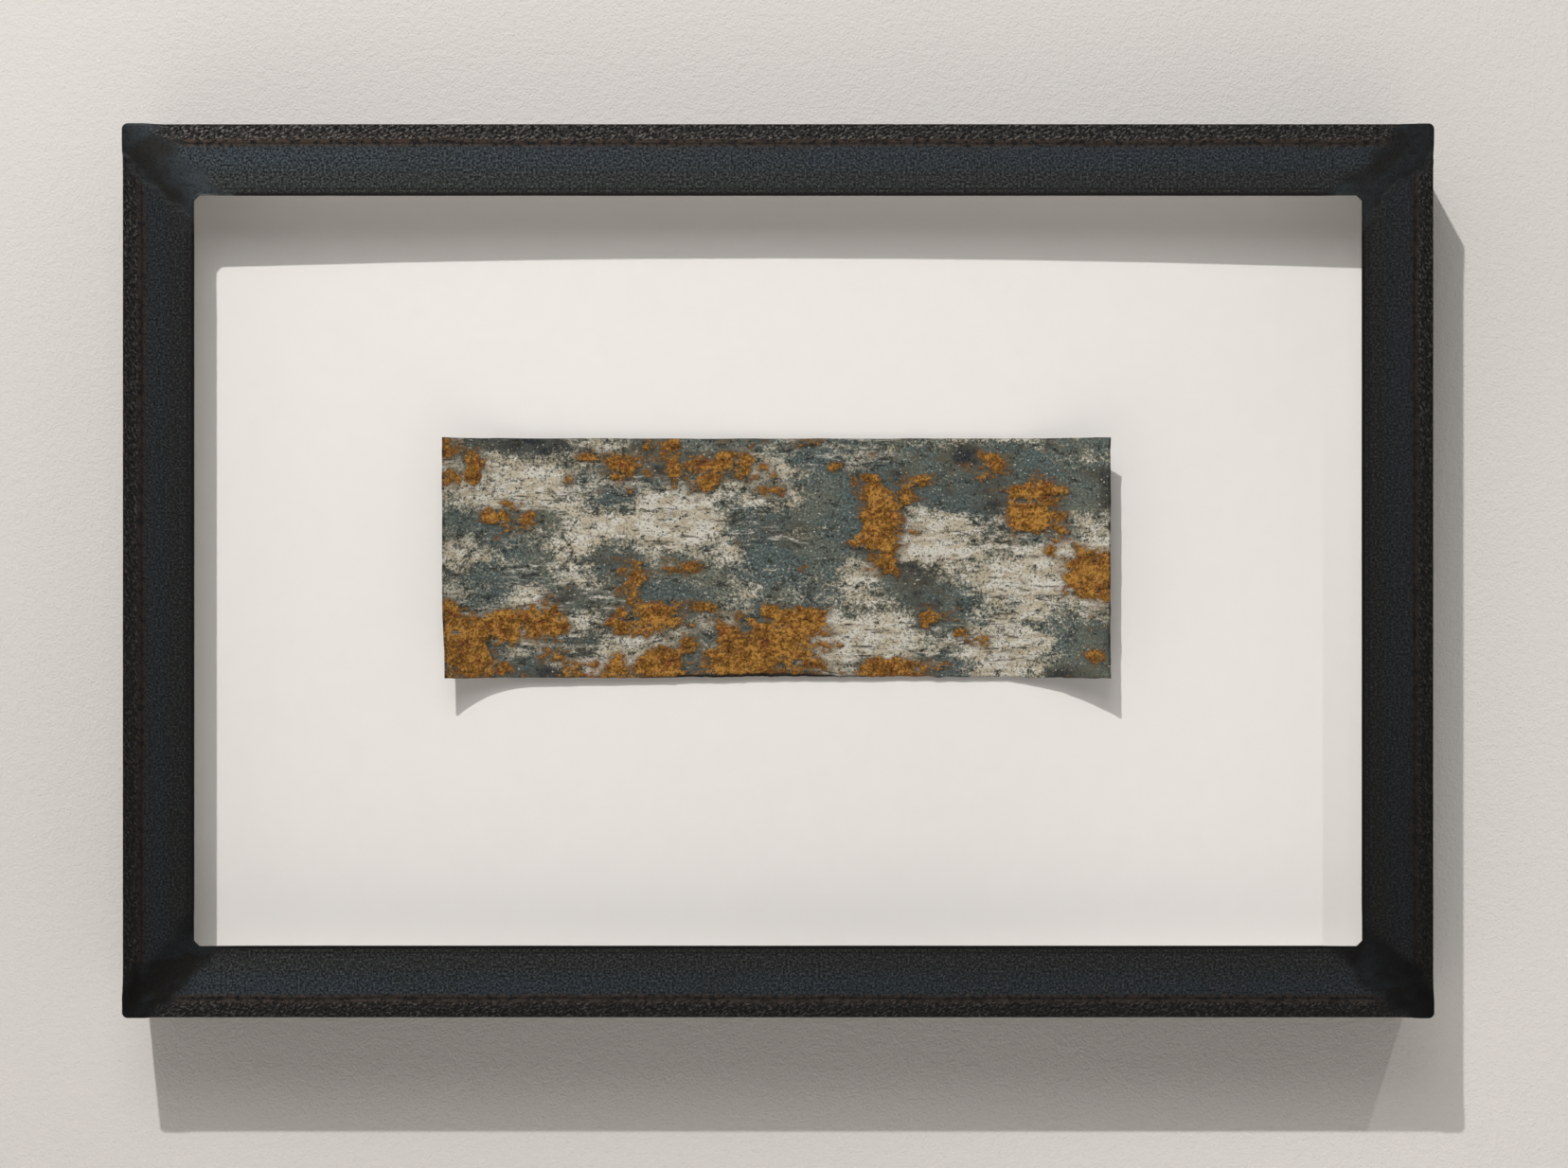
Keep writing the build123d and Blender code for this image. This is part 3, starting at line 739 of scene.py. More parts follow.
        # Painted shade and highlight: darkest where craggy is low, in the crevices between lumps, and
        # lightest on the lump tops, with the crumbs' random tone mixed in. The dark dots below are real
        # pits.
        tone = s.wash(self.rust_deep_and_crevice_shade, body, craggy, -0.25, 0.05)
        tone = s.wash(tone, self.rust_light_and_highlight, craggy, 0.30, 0.70, 0.95)
        tone = s.tint(tone, self.rust_deep_and_crevice_shade, s.dots(path, 360.0, 0.28), 0.7)
        colour = s.wash(colour, self.umber, crust, 0.30, 0.46, 0.4)
        colour = s.wash(colour, tone, crust, 0.45, 0.53)
        rim = s.times(s.mask("rim"), s.ramp(flecks, 0.40, 0.54, to=(1.0, 0.35)))
        colour = s.blend(rim, colour, self.edge)
        # Painted shade of the parting along the lower edge.
        colour = s.blend(s.mask("gap"), colour, self.edge)
        colour = s.tint(colour, self.chalk, scuffs["Rubs"], 0.15)
        s.feed(shader.inputs["Base Color"], colour)
        s.feed(shader.inputs["Roughness"], s.ramp(s.mask("rust"), 0.3, 0.6, to=(0.62, 0.93)))
        height = s.plus(s.plus(crumbs, flecks), s.times(s.mask("lump"), 0.5))
        s.feed(shader.inputs["Normal"], s.bump(height, 0.0018))
        return coat


@dataclass(frozen=True)
class Timber:
    """Sawn or peeled wood with rings, fibres and pores."""

    name: str
    light: Colour
    dark: Colour
    pore: Colour
    upright: bool = False
    scale: float = 24.0
    plies: bool = False

    def coat(self, effects: Effects) -> bpy.types.Material:
        """Make the material.

        Args:
            effects: shared effects.

        Returns:
            The material, with the grain along X or, where upright, along Z.
        """
        coat, s, shader = new_coat(self.name, Specular_IOR_Level=0.3)
        place = s.place()
        if self.upright:
            parts = s.add("ShaderNodeSeparateXYZ")
            s.feed(parts.inputs[0], place)
            turned = s.add("ShaderNodeCombineXYZ")
            for socket, axis in enumerate(("Z", "Y", "X")):
                s.feed(turned.inputs[socket], parts.outputs[axis])
            place_along = turned.outputs[0]
        else:
            place_along = place
        grain = s.effect(effects.wood_grain, Vector=place_along, Scale=self.scale)
        cloud = s.effect(effects.mottling, Vector=place, Scale=9.0)
        colour = s.blend(grain["Rings"], self.light, self.dark)
        colour = s.tint(colour, self.dark, s.ramp(grain["Fibres"], 0.35, 0.7), 0.35)
        colour = s.tint(colour, self.pore, grain["Pores"], 0.5)
        colour = s.tint(colour, self.pore, s.ramp(cloud["Broad"], 0.4, 0.7), 0.18)
        if self.plies:
            layers = s.work("FRACT", s.times(s.axis(place, "Y"), 345.0))
            edge = s.ramp(s.work("ABSOLUTE", s.work("SUBTRACT", layers, 0.5)), 0.22, 0.28)
            colour = s.tint(colour, self.pore, edge, 0.55)
        s.feed(shader.inputs["Base Color"], colour)
        s.feed(shader.inputs["Roughness"], s.ramp(grain["Fibres"], 0.3, 0.7, to=(0.52, 0.72)))
        s.feed(shader.inputs["Normal"], s.bump(s.plus(grain["Fibres"], grain["Pores"]), 0.00012))
        return coat


@dataclass(frozen=True)
class Matt:
    """Matt body such as card, paint, foam, felt or fibreboard, mottled and lightly toothed."""

    name: str
    base: Colour
    shade: Colour
    rough: float
    tooth: float
    tooth_scale: float
    cloud_scale: float = 12.0
    amount: float = 0.4

    def coat(self, effects: Effects) -> bpy.types.Material:
        """Make the material.

        Args:
            effects: shared effects.

        Returns:
            The material.
        """
        coat, s, shader = new_coat(self.name, Specular_IOR_Level=0.25)
        place = s.place()
        cloud = s.effect(effects.mottling, Vector=place, Scale=self.cloud_scale)
        tooth = s.noise(place, self.tooth_scale, 4.0, 0.62)
        amount = s.times(s.ramp(cloud["Cloud"], 0.3, 0.75), self.amount)
        colour = s.blend(amount, self.base, self.shade)
        fleck = s.times(s.ramp(tooth, 0.35, 0.7), self.amount * 0.5)
        s.feed(shader.inputs["Base Color"], s.blend(fleck, colour, self.shade))
        level = (self.rough - 0.05, min(1.0, self.rough + 0.05))
        s.feed(shader.inputs["Roughness"], s.ramp(cloud["Cloud"], 0.3, 0.7, to=level))
        s.feed(shader.inputs["Normal"], s.bump(tooth, self.tooth))
        return coat


@dataclass(frozen=True)
class PlainMetal:
    """Plated or bare metal with tarnish, rub marks and specks."""

    name: str
    bright: Colour
    tarnish: Colour
    rough: float
    scale: float = 60.0

    def coat(self, effects: Effects) -> bpy.types.Material:
        """Make the material.

        Args:
            effects: shared effects.

        Returns:
            The material.
        """
        coat, s, shader = new_coat(self.name, Metallic=1.0)
        place = s.place()
        cloud = s.effect(effects.mottling, Vector=place, Scale=self.scale)
        scuffs = s.effect(effects.scuffing, Vector=place, Scale=1600.0)
        dull = s.wash(self.bright, self.tarnish, cloud["Cloud"], 0.38, 0.68)
        dull = s.tint(dull, self.tarnish, scuffs["Specks"], 0.4)
        s.feed(shader.inputs["Base Color"], dull)
        level = (self.rough, min(1.0, self.rough + 0.22))
        s.feed(shader.inputs["Roughness"], s.ramp(cloud["Cloud"], 0.35, 0.7, to=level))
        height = s.plus(s.times(cloud["Grains"], 0.4), scuffs["Rubs"])
        s.feed(shader.inputs["Normal"], s.bump(height, 0.00006))
        return coat


@dataclass(frozen=True)
class Pane:
    """Low-reflection glass: almost clear, with a faint film of dust that changes its roughness."""

    tint: Colour = (0.015, 0.020, 0.018)
    clear: float = 0.03

    def coat(self, effects: Effects) -> bpy.types.Material:
        """Make the material.

        Args:
            effects: shared effects.

        Returns:
            The material.
        """
        coat, s, shader = new_coat(
            "Pane", Base_Color=self.tint, Metallic=0.0, Transmission_Weight=0.0, Specular_IOR_Level=0.2
        )
        cloud = s.effect(effects.mottling, Vector=s.place(), Scale=7.0)
        s.feed(shader.inputs["Roughness"], s.ramp(cloud["Cloud"], 0.3, 0.7, to=(0.03, 0.09)))
        film = s.ramp(cloud["Grains"], 0.3, 0.7, to=(self.clear * 0.85, self.clear))
        s.feed(shader.inputs["Alpha"], film)
        return coat


# ---------------------------------------------------------------- steel angle frame


class Side(Enum):
    """Sides of the frame: CAD node, direction along the bar and direction inward, as (x, z)."""

    TOP = ("top_rail", (1.0, 0.0), (0.0, -1.0))
    BOTTOM = ("bottom_rail", (-1.0, 0.0), (0.0, 1.0))
    LEFT = ("left_stile", (0.0, 1.0), (1.0, 0.0))
    RIGHT = ("right_stile", (0.0, -1.0), (-1.0, 0.0))


class Corner(Enum):
    """Corners of the frame: CAD node, and the directions in from its two outer edges."""

    TOP_LEFT = ("corner_weld_top_left", 1.0, -1.0)
    TOP_RIGHT = ("corner_weld_top_right", -1.0, -1.0)
    BOTTOM_LEFT = ("corner_weld_bottom_left", 1.0, 1.0)
    BOTTOM_RIGHT = ("corner_weld_bottom_right", -1.0, 1.0)


@dataclass
class SteelFrame:
    """Four mitred bars of rolled angle and the welds ground flush between them."""

    face_width: float = 50 * MM
    steel: float = 6 * MM
    heel_radius: float = 1.2 * MM
    toe_radius: float = 4 * MM
    root_radius: float = 8 * MM
    weld_half: float = 3 * MM
    inner_weld: float = 3.5 * MM
    step: float = 1.15 * MM
    crease_at: float = 14.2 * MM
    profile: Array = field(init=False)
    normals: Array = field(init=False)
    unrolled: Array = field(init=False)

    def __post_init__(self) -> None:
        """Read the frame's box and lay out the section."""
        top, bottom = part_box("top_rail"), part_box("bottom_rail")
        left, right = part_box("left_stile"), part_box("right_stile")
        self.low_z, self.high_z = bottom[0].z, top[1].z
        self.low_x, self.high_x = left[0].x, right[1].x
        self.face_y = top[0].y
        self.depth = top[1].y - top[0].y
        self.weld_gap = self.weld_half * math.sqrt(2)
        self.surface = Relief(11)
        self.coarse = Relief(12)
        self.lay_out_section()

    def lay_out_section(self) -> None:
        """Section of the angle as a closed run of lines and arcs, with outward normals.

        Each row of the profile is (distance in from the outer face, depth behind the front face). The run
        goes up the outside of the leg, round the heel, across the face, round the toe, back along the
        inside of the flange, round the root and down the inside of the leg.
        """
        wide, thick, deep = self.face_width, self.steel, self.depth
        heel, toe, root = self.heel_radius, self.toe_radius, self.root_radius

        def line(start: tuple, end: tuple, normal: tuple, count: int) -> tuple[Array, Array]:
            """Evenly spaced points from start up to, but not at, end.

            Args:
                start: first point.
                end: where the line stops.
                normal: outward direction along it.
                count: number of points.

            Returns:
                The points and their normals.
            """
            t = np.linspace(0, 1, count, endpoint=False)[:, None]
            points = np.array(start) * (1 - t) + np.array(end) * t
            return points, np.broadcast_to(np.array(normal), points.shape)

        def arc(centre: tuple, radius: float, start: float, end: float, inside: bool, count: int) -> tuple:
            """Points on an arc from one angle up to, but not at, another.

            Args:
                centre: its centre.
                radius: its radius.
                start: first angle, in degrees.
                end: last angle, in degrees.
                inside: whether the steel lies outside the arc.
                count: number of points.

            Returns:
                The points and their normals.
            """
            angle = np.radians(np.linspace(start, end, count, endpoint=False))
            ray = np.stack([np.cos(angle), np.sin(angle)], -1)
            return np.array(centre) + radius * ray, -ray if inside else ray

        across = round((wide - heel) / self.step)
        runs = [
            line((0, deep), (0, heel), (-1, 0), 18),
            arc((heel, heel), heel, 180, 270, False, 5),
            line((heel, 0), (wide, 0), (0, -1), across),
            line((wide, 0), (wide, thick - toe), (1, 0), 2),
            arc((wide - toe, thick - toe), toe, 0, 90, False, 4),
            line((wide - toe, thick), (thick + root, thick), (0, 1), 8),
            arc((thick + root, thick + root), root, 270, 180, True, 5),
            line((thick, thick + root), (thick, deep - toe), (1, 0), 10),
            arc((thick - toe, deep - toe), toe, 0, 90, False, 4),
            line((thick - toe, deep), (0, deep), (0, 1), 1),
        ]
        self.profile = np.concatenate([run[0] for run in runs])
        self.normals = np.concatenate([run[1] for run in runs])
        steps = np.linalg.norm(np.diff(self.profile, axis=0), axis=1)
        self.unrolled = np.concatenate([[0.0], np.cumsum(steps)]) - (deep - heel)

    def ground_relief(self, x: Array, z: Array, depth: Array) -> Array:
        """Depth of the hand-ground surface near a corner: broad dips and a few pits.

        The relief is read at (x + 0.6 depth, z + 0.8 depth), so that it meets across every seam.

        Args:
            x: place across the frame.
            z: height.
            depth: distance behind the face.

        Returns:
            Depth in metres, never negative.
        """
        across, up = x + 0.6 * depth, z + 0.8 * depth
        dips = self.coarse.layered(across / (26 * MM), up / (26 * MM), 2)
        pits = self.surface.lumps(across / (11 * MM) + 3, up / (11 * MM), 0.14) ** 2
        return dips * 0.45 * MM + pits * 0.16 * MM

    def scale_relief(self, along: Array, across: Array) -> Array:
        """Depth of the rolled surface: fine grain everywhere, chatter outside the crease, and the crease.

        Chatter is noise on slanted axes (along + 0.5 across). The crease is a shallow wandering groove.
        Toward the heel the face falls away by 0.9 mm times (1 - across / 12 mm)^2.

        Args:
            along: distance along the bar from its middle.
            across: distance round the section from the heel.

        Returns:
            Depth in metres, never negative.
        """
        grain = self.surface.layered(along / (3.4 * MM), across / (2.2 * MM), 2, 0.6)
        slanted = along + 0.5 * across
        chatter = self.coarse.layered(slanted / (6.5 * MM), across / (2.6 * MM), 3, 0.55)
        waves = self.coarse.layered(along / (90 * MM) + 5, across / (30 * MM), 2)
        outer = smoothstep(across, self.crease_at - 1 * MM, self.crease_at - 3 * MM)
        outer = outer * smoothstep(across, -60 * MM, 0.0)
        wander = (self.coarse.smooth(along / (35 * MM), np.zeros_like(along)) - 0.5) * 1.2 * MM
        groove = np.exp(-(((across - self.crease_at - wander) / (1.3 * MM)) ** 2))
        rounded = np.clip(1 - across / (12 * MM), 0, 1) ** 2 * smoothstep(across, -4 * MM, 0.5 * MM)
        fine = grain * 0.04 * MM + outer * chatter * 0.12 * MM
        return fine + waves * 0.1 * MM + groove * 0.16 * MM + rounded * 0.9 * MM

    def tone(self, x: Array, z: Array, bare: Array) -> Array:
        """How much painted shade darkens the finish: stiles darker than rails and everything darker toward
        the lower right, as the overhead light falls on the bars; near the outer edges and on ground patches
        it darkens more toward the bottom.

        Args:
            x: place across the frame.
            z: height.
            bare: 1 where the rolled surface is whole, 0 where it is ground away.

        Returns:
            0 for the full colour, 1 for black.
        """
        half_x, half_z = (self.high_x - self.low_x) / 2, (self.high_z - self.low_z) / 2
        right = (x - self.low_x - half_x) / half_x
        up = (z - self.low_z - half_z) / half_z
        from_side, from_end = half_x * (1 - np.abs(right)), half_z * (1 - np.abs(up))
        # Painted light and shade: rails lit brighter than stiles, and both fall darker to the right and
        # downward.
        rail = smoothstep(from_side - from_end, -20 * MM, 20 * MM)
        outer = smoothstep(np.minimum(from_side, from_end), 15 * MM, 10 * MM)
        across_fall, down_fall = (right + 1) / 2, (1 - up) / 2
        lit_rail = (1 - 0.45 * across_fall) * (1 - 0.28 * down_fall)
        shaded_stile = 0.36 * (1 - (0.30 + 0.26 * across_fall) * down_fall)
        shaded_ground_patch = 1 - 0.45 * (1 - bare) * down_fall
        band = 1 - outer * (0.12 + 0.38 * down_fall)
        return 1 - (lit_rail * rail + shaded_stile * (1 - rail)) * shaded_ground_patch * band

    def masks(self, along: Array, across: Array, bare: Array, tone: Array) -> dict[str, Array]:
        """Band masks that the steel's finish reads.

        Args:
            along: distance along the bar.
            across: distance round the section from the heel.
            bare: 1 where the rolled surface is whole, 0 where it is ground away.
            tone: how much painted shade darkens the finish.

        Returns:
            Numbers a point, by mask name.
        """
        wander = (self.coarse.layered(along / (40 * MM), across * 0, 3) - 0.5) * 1.3 * MM
        shifted = across + wander
        crease = smoothstep(np.abs(shifted - self.crease_at), 3.6 * MM, 1.4 * MM)
        toe_line = np.exp(-(((across - 45.8 * MM) / (0.6 * MM)) ** 2))
        # Painted shade: dark over the last of the face, the toe and the inside of the flange, where the
        # inner edge lies in shade.
        toe_edge_shade = smoothstep(across, 47.8 * MM, 48.9 * MM) * smoothstep(across, 60 * MM, 56 * MM)
        crease_line = np.exp(-(((shifted - self.crease_at - 0.5 * MM) / (1.0 * MM)) ** 2))
        last_strip = smoothstep(across, 46 * MM, 48 * MM) * smoothstep(across, 51 * MM, 50 * MM)
        near_crease = smoothstep(np.abs(shifted - self.crease_at), 8 * MM, 3 * MM)
        # Painted highlight: a band on the outer side of the crease.
        painted_crest_highlight = np.exp(-(((shifted - self.crease_at + 3.4 * MM) / (1.2 * MM)) ** 2))
        flat = {
            "outer_band": smoothstep(shifted, self.crease_at, self.crease_at - 3 * MM) * bare,
            "crease": crease * bare,
            "painted_crest_highlight": painted_crest_highlight * bare,
            "speckled": np.maximum(near_crease * 0.7, last_strip) * bare,
            "dark_lines_and_edge_shade": np.maximum(np.maximum(toe_line * 0.75, crease_line * 0.8) * bare, toe_edge_shade),
            "toward_toe": smoothstep(across, 24 * MM, 40 * MM),
            "ground": 1 - bare,
            "shade": tone,
        }
        masks = {name: values.ravel() for name, values in flat.items()}
        masks["bar_path"] = np.stack([along, across, np.zeros_like(along)], -1).reshape(-1, 3)
        return masks

    def put_in_place(
        self, node: str, x: Array, z: Array, lean_x: float | Array, lean_z: float | Array, sunk: Array
    ) -> Array:
        """Points of the carried section, sunk along its normal.

        Args:
            node: CAD node, whose box the points stay inside.
            x: place across the frame before sinking.
            z: height before sinking.
            lean_x: how far the section's inward direction points along X.
            lean_z: how far it points along Z.
            sunk: how deep each point sinks.

        Returns:
            n x 3 array of places.
        """
        inward, back = self.normals[:, 0], self.normals[:, 1]
        outward = np.stack(np.broadcast_arrays(lean_x * inward, back, lean_z * inward, x)[:3], -1)
        y = np.broadcast_to(self.face_y + self.profile[:, 1], x.shape)
        points = (np.stack([x, y, z], -1) - outward * sunk[..., None]).reshape(-1, 3)
        low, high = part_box(node)
        return np.clip(points, np.array(low), np.array(high))

    def bar(self, side: Side, coat: bpy.types.Material) -> bpy.types.Object:
        """One mitred bar: the section carried along the side and cut short of both mitres.

        At distance r in from the outer face the bar is 2 (half side - r - weld gap) long.

        Args:
            side: which bar.
            coat: its material.

        Returns:
            The bar.
        """
        node, along_axis, inward_axis = side.value
        middle = ((self.low_x + self.high_x) / 2, (self.low_z + self.high_z) / 2)
        halves = ((self.high_x - self.low_x) / 2, (self.high_z - self.low_z) / 2)
        along_half, across_half = halves if along_axis[0] else halves[::-1]
        sections = round(2 * along_half / self.step)
        inward, depth = self.profile[None, :, 0], self.profile[None, :, 1]
        share = np.linspace(-1, 1, sections)[:, None]
        along = share * (along_half - inward - self.weld_gap)
        across = np.broadcast_to(self.unrolled[None, :], along.shape)
        x = middle[0] + along_axis[0] * along + inward_axis[0] * (inward - across_half)
        z = middle[1] + along_axis[1] * along + inward_axis[1] * (inward - across_half)
        from_mitre = (along_half - inward - np.abs(along)) / math.sqrt(2)
        ragged = (self.coarse.layered(x / (11 * MM), z / (11 * MM), 3) - 0.5) * 14 * MM
        bare = smoothstep(from_mitre + ragged, 8 * MM, 22 * MM) * smoothstep(from_mitre, 4 * MM, 11 * MM)
        shift = 1.7 * (list(Side).index(side) + 1)
        sunk = bare * self.scale_relief(along + shift, across)
        sunk = sunk + (1 - bare) * self.ground_relief(x, z, self.face_y + depth - self.face_y)
        points = self.put_in_place(node, x, z, *inward_axis, sunk)
        masks = self.masks(along + shift, across, bare, self.tone(x, z, bare))
        piece = make_piece(f"{node}_rolled", points, bar_faces(sections, len(self.profile)), masks)
        stand_in(piece, node, BODY, coat)
        return piece

    def weld(self, corner: Corner, coat: bpy.types.Material) -> bpy.types.Object:
        """One ground weld: the section carried round a mitre, rounded outside and filleted inside.

        With a and b the distances in from the two outer edges, the path at distance r in runs from
        (r + gap, r) to (r, r) to (r, r + gap). Outside it turns on an arc about (gap, gap). At the toe it
        cuts straight across the last few millimetres.

        Args:
            corner: which weld.
            coat: its material.

        Returns:
            The weld.
        """
        node, toward_x, toward_z = corner.value
        gap, cut = self.weld_gap, self.inner_weld
        share = np.linspace(-1, 1, 25)[:, None]
        inward, depth = self.profile[None, :, 0], self.profile[None, :, 1]
        a = inward + gap * np.maximum(-share, 0)
        b = inward + gap * np.maximum(share, 0)
        radius = np.maximum(gap - inward, 1e-9)
        first_leg = (share <= 0) & (inward < gap) & (a < gap)
        second_leg = (share > 0) & (inward < gap) & (b < gap)
        turn_a = (gap - a) / radius * math.pi / 4
        turn_b = (gap - b) / radius * math.pi / 4
        round_a = np.where(first_leg, gap - radius * np.sin(turn_a), a)
        round_b = np.where(first_leg, gap - radius * np.cos(turn_a), b)
        round_a = np.where(second_leg, gap - radius * np.cos(turn_b), round_a)
        round_b = np.where(second_leg, gap - radius * np.sin(turn_b), round_b)
        spread = np.maximum(a, b) - inward
        fill = np.clip((cut - spread) / 2, 0, None) * smoothstep(inward, 46 * MM, self.face_width)
        fill = fill * (depth < self.steel)
        x = toward_x * (round_a + fill)
        z = toward_z * (round_b + fill)
        x = x + (self.low_x if toward_x > 0 else self.high_x)
        z = z + (self.low_z if toward_z > 0 else self.high_z)
        lean = (share + 1) * math.pi / 4
        sunk = self.ground_relief(x, z, self.face_y + depth - self.face_y)
        points = self.put_in_place(node, x, z, toward_x * np.sin(lean), toward_z * np.cos(lean), sunk)
        along = np.broadcast_to(share * gap, x.shape)
        across = np.broadcast_to(self.unrolled[None, :], x.shape)
        bare = np.zeros(x.shape)
        masks = self.masks(along, across, bare, self.tone(x, z, bare))
        piece = make_piece(f"{node}_ground", points, bar_faces(len(share), len(self.profile)), masks)
        stand_in(piece, node, BODY, coat)
        return piece

    def build(self, coat: bpy.types.Material) -> list[bpy.types.Object]:
        """All four bars and all four welds."""
        return [self.bar(s, coat) for s in Side] + [self.weld(c, coat) for c in Corner]


# ---------------------------------------------------------------- floated sheet


@dataclass
class FloatedSheet:
    """Weathered metal sheet, flat in the middle and curling forward at both ends."""

    thickness: float = 2 * MM
    flat_left: float = -172 * MM
    flat_right: float = 152 * MM
    left_rise: float = 25 * MM
    right_rise: float = 30 * MM
    step: float = 1.08 * MM
    lump_height: float = 3.4 * MM

    MASKS: ClassVar[tuple[str, ...]] = (
        "rust", "chalk", "navy", "umber", "streaks", "lump", "rim", "gap",
    )

    def __post_init__(self) -> None:
        """Read the sheet's box and the depth of its flat stretch from the risers behind it."""
        self.low, self.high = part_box("art_sheet")
        left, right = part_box("float_riser_left"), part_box("float_riser_right")
        slope = (right[0].y - left[0].y) / (right[0].x - left[0].x)
        self.slope = slope
        self.back_at_left = left[0].y + slope * (self.flat_left - left[0].x)
        self.broad = Relief(31)
        self.crumb = Relief(32)

    def back_depth(self, x: Array) -> Array:
        """Depth of the sheet's back: a straight line, falling forward at each end along an arc.

        Over a run d past the end of the flat the arc of radius (run^2 + rise^2) / (2 rise) comes
        forward by radius - sqrt(radius^2 - d^2).

        Args:
            x: place across the frame.

        Returns:
            Depth y of the back.
        """
        depth = self.back_at_left + self.slope * (x - self.flat_left)
        ends = (
            (self.flat_left - x, self.flat_left - self.low.x, self.left_rise),
            (x - self.flat_right, self.high.x - self.flat_right, self.right_rise),
        )
        for past, run, rise in ends:
            radius = (run**2 + rise**2) / (2 * rise)
            past = np.clip(past, 0, run)
            depth = depth - (radius - np.sqrt(radius**2 - past**2))
        return depth

    def fields(self, s: Array, z: Array) -> dict[str, Array]:
        """Patina masks over the sheet, each layered noise about a level, made finer by the finish.

        Args:
            s: distance along the sheet from its left end.
            z: height above its lower edge.

        Returns:
            Numbers a point, by mask name.
        """
        cloud = self.broad.layered(s / (58 * MM) + 113, z / (34 * MM) + 67, 5, 0.55)
        other = self.broad.layered(s / (48 * MM) + 171, z / (26 * MM) + 139, 5, 0.55)
        third = self.crumb.layered(s / (52 * MM) + 151, z / (36 * MM) + 97, 6, 0.6)
        veil = self.broad.layered(s / (95 * MM) + 201, z / (26 * MM) + 19, 3)
        # Each colour mask is noise about one level over the whole sheet: no patch has a chosen place.
        specks = self.crumb.lumps(s / (9 * MM) + 60, z / (9 * MM) + 30, 0.14)
        rust = 0.30 + (third - 0.5) * 2.5 + 0.25 * specks
        chalk = 0.38 + (cloud - 0.5) * 2.0 + (veil - 0.5) * 0.8
        navy = 0.34 + (other - 0.5) * 1.2
        umber = other
        streaks = smoothstep(veil, 0.52, 0.66)
        bend = (self.crumb.layered(s / (4 * MM) + 9, z / (4 * MM), 2) - 0.5) * 3.2 * MM
        lump = self.crumb.lumps((s + bend) / (5.4 * MM), (z - bend) / (4.4 * MM), 0.78)
        small = self.crumb.lumps((s - bend) / (3.0 * MM) + 40, z / (2.6 * MM), 0.85)
        rough = self.crumb.layered(s / (7 * MM) + 23, z / (5 * MM), 4, 0.62)
        rugged = np.clip(0.40 * lump + 0.30 * small + 0.9 * (rough - 0.32), 0, 1)
        crust = smoothstep(rust, 0.36, 0.6)
        return {
            "rust": rust,
            "chalk": chalk,
            "navy": navy,
            "umber": umber,
            "streaks": streaks,
            "lump": rugged * crust,
            "crust": crust,
            "rugged": rugged,
        }

    def edges(self, s: Array, z: Array, length: float) -> tuple[Array, Array, Array, Array]:
        """How far each edge is worn in: low wobble everywhere, bites along the lower edge.

        Args:
            s: distance along the sheet.
            z: height above its lower edge.
            length: the sheet's length along its curve.

        Returns:
            Wear of the left, right, lower and upper edges.
        """
        lean = smoothstep(z, 60 * MM, 0.0)
        left = self.crumb.layered(z / (9 * MM), z * 0, 3) * 1.1 * MM + lean * 2.6 * MM
        right = self.crumb.layered(z / (12 * MM) + 60, z * 0, 3) * 1.2 * MM
        bites = self.crumb.layered(s / (11 * MM), s * 0 + 5, 4, 0.6)
        ragged = smoothstep(s / length, 0.3, 0.45) * smoothstep(s / length, 0.97, 0.8)
        lower = (0.5 + ragged) * bites * 1.5 * MM
        upper = self.crumb.layered(s / (24 * MM), s * 0 + 90, 3) * 0.9 * MM
        return left, right, lower, upper

    def surface(self, columns: int, rows: int, front: bool) -> tuple[Array, dict[str, Array]]:
        """Front or back of the sheet as a grid, evenly spaced along its curve and up its height.

        Args:
            columns: points along the sheet.
            rows: points up the sheet.
            front: whether it is the front.

        Returns:
            Rows x columns x 3 places, and the masks by name.
        """
        fine_x = np.linspace(self.low.x, self.high.x, 2000)
        fine_y = self.back_depth(fine_x)
        travelled = np.concatenate([[0], np.cumsum(np.hypot(np.diff(fine_x), np.diff(fine_y)))])
        length, height = travelled[-1], self.high.z - self.low.z
        line_s = np.linspace(0, length, columns)
        line_z = np.linspace(0, height, rows)
        left, right, lower, upper = self.edges(line_s, line_z, length)
        share_s, share_z = np.meshgrid(line_s / length, line_z / height)
        s = left[:, None] + share_s * (length - left - right)[:, None]
        z = lower[None, :] + share_z * (height - lower - upper)[None, :]
        x = np.interp(s, travelled, fine_x)
        y = np.interp(s, travelled, fine_y)
        slope = np.interp(s, travelled, np.gradient(fine_y, fine_x))
        masks = self.fields(s, z)
        rim = np.minimum(np.minimum(s - left[:, None], length - right[:, None] - s),
                         np.minimum(z - lower[None, :], height - upper[None, :] - z))
        masks["rim"] = smoothstep(rim, 0.9 * MM, 0.1 * MM) if front else np.ones(s.shape)
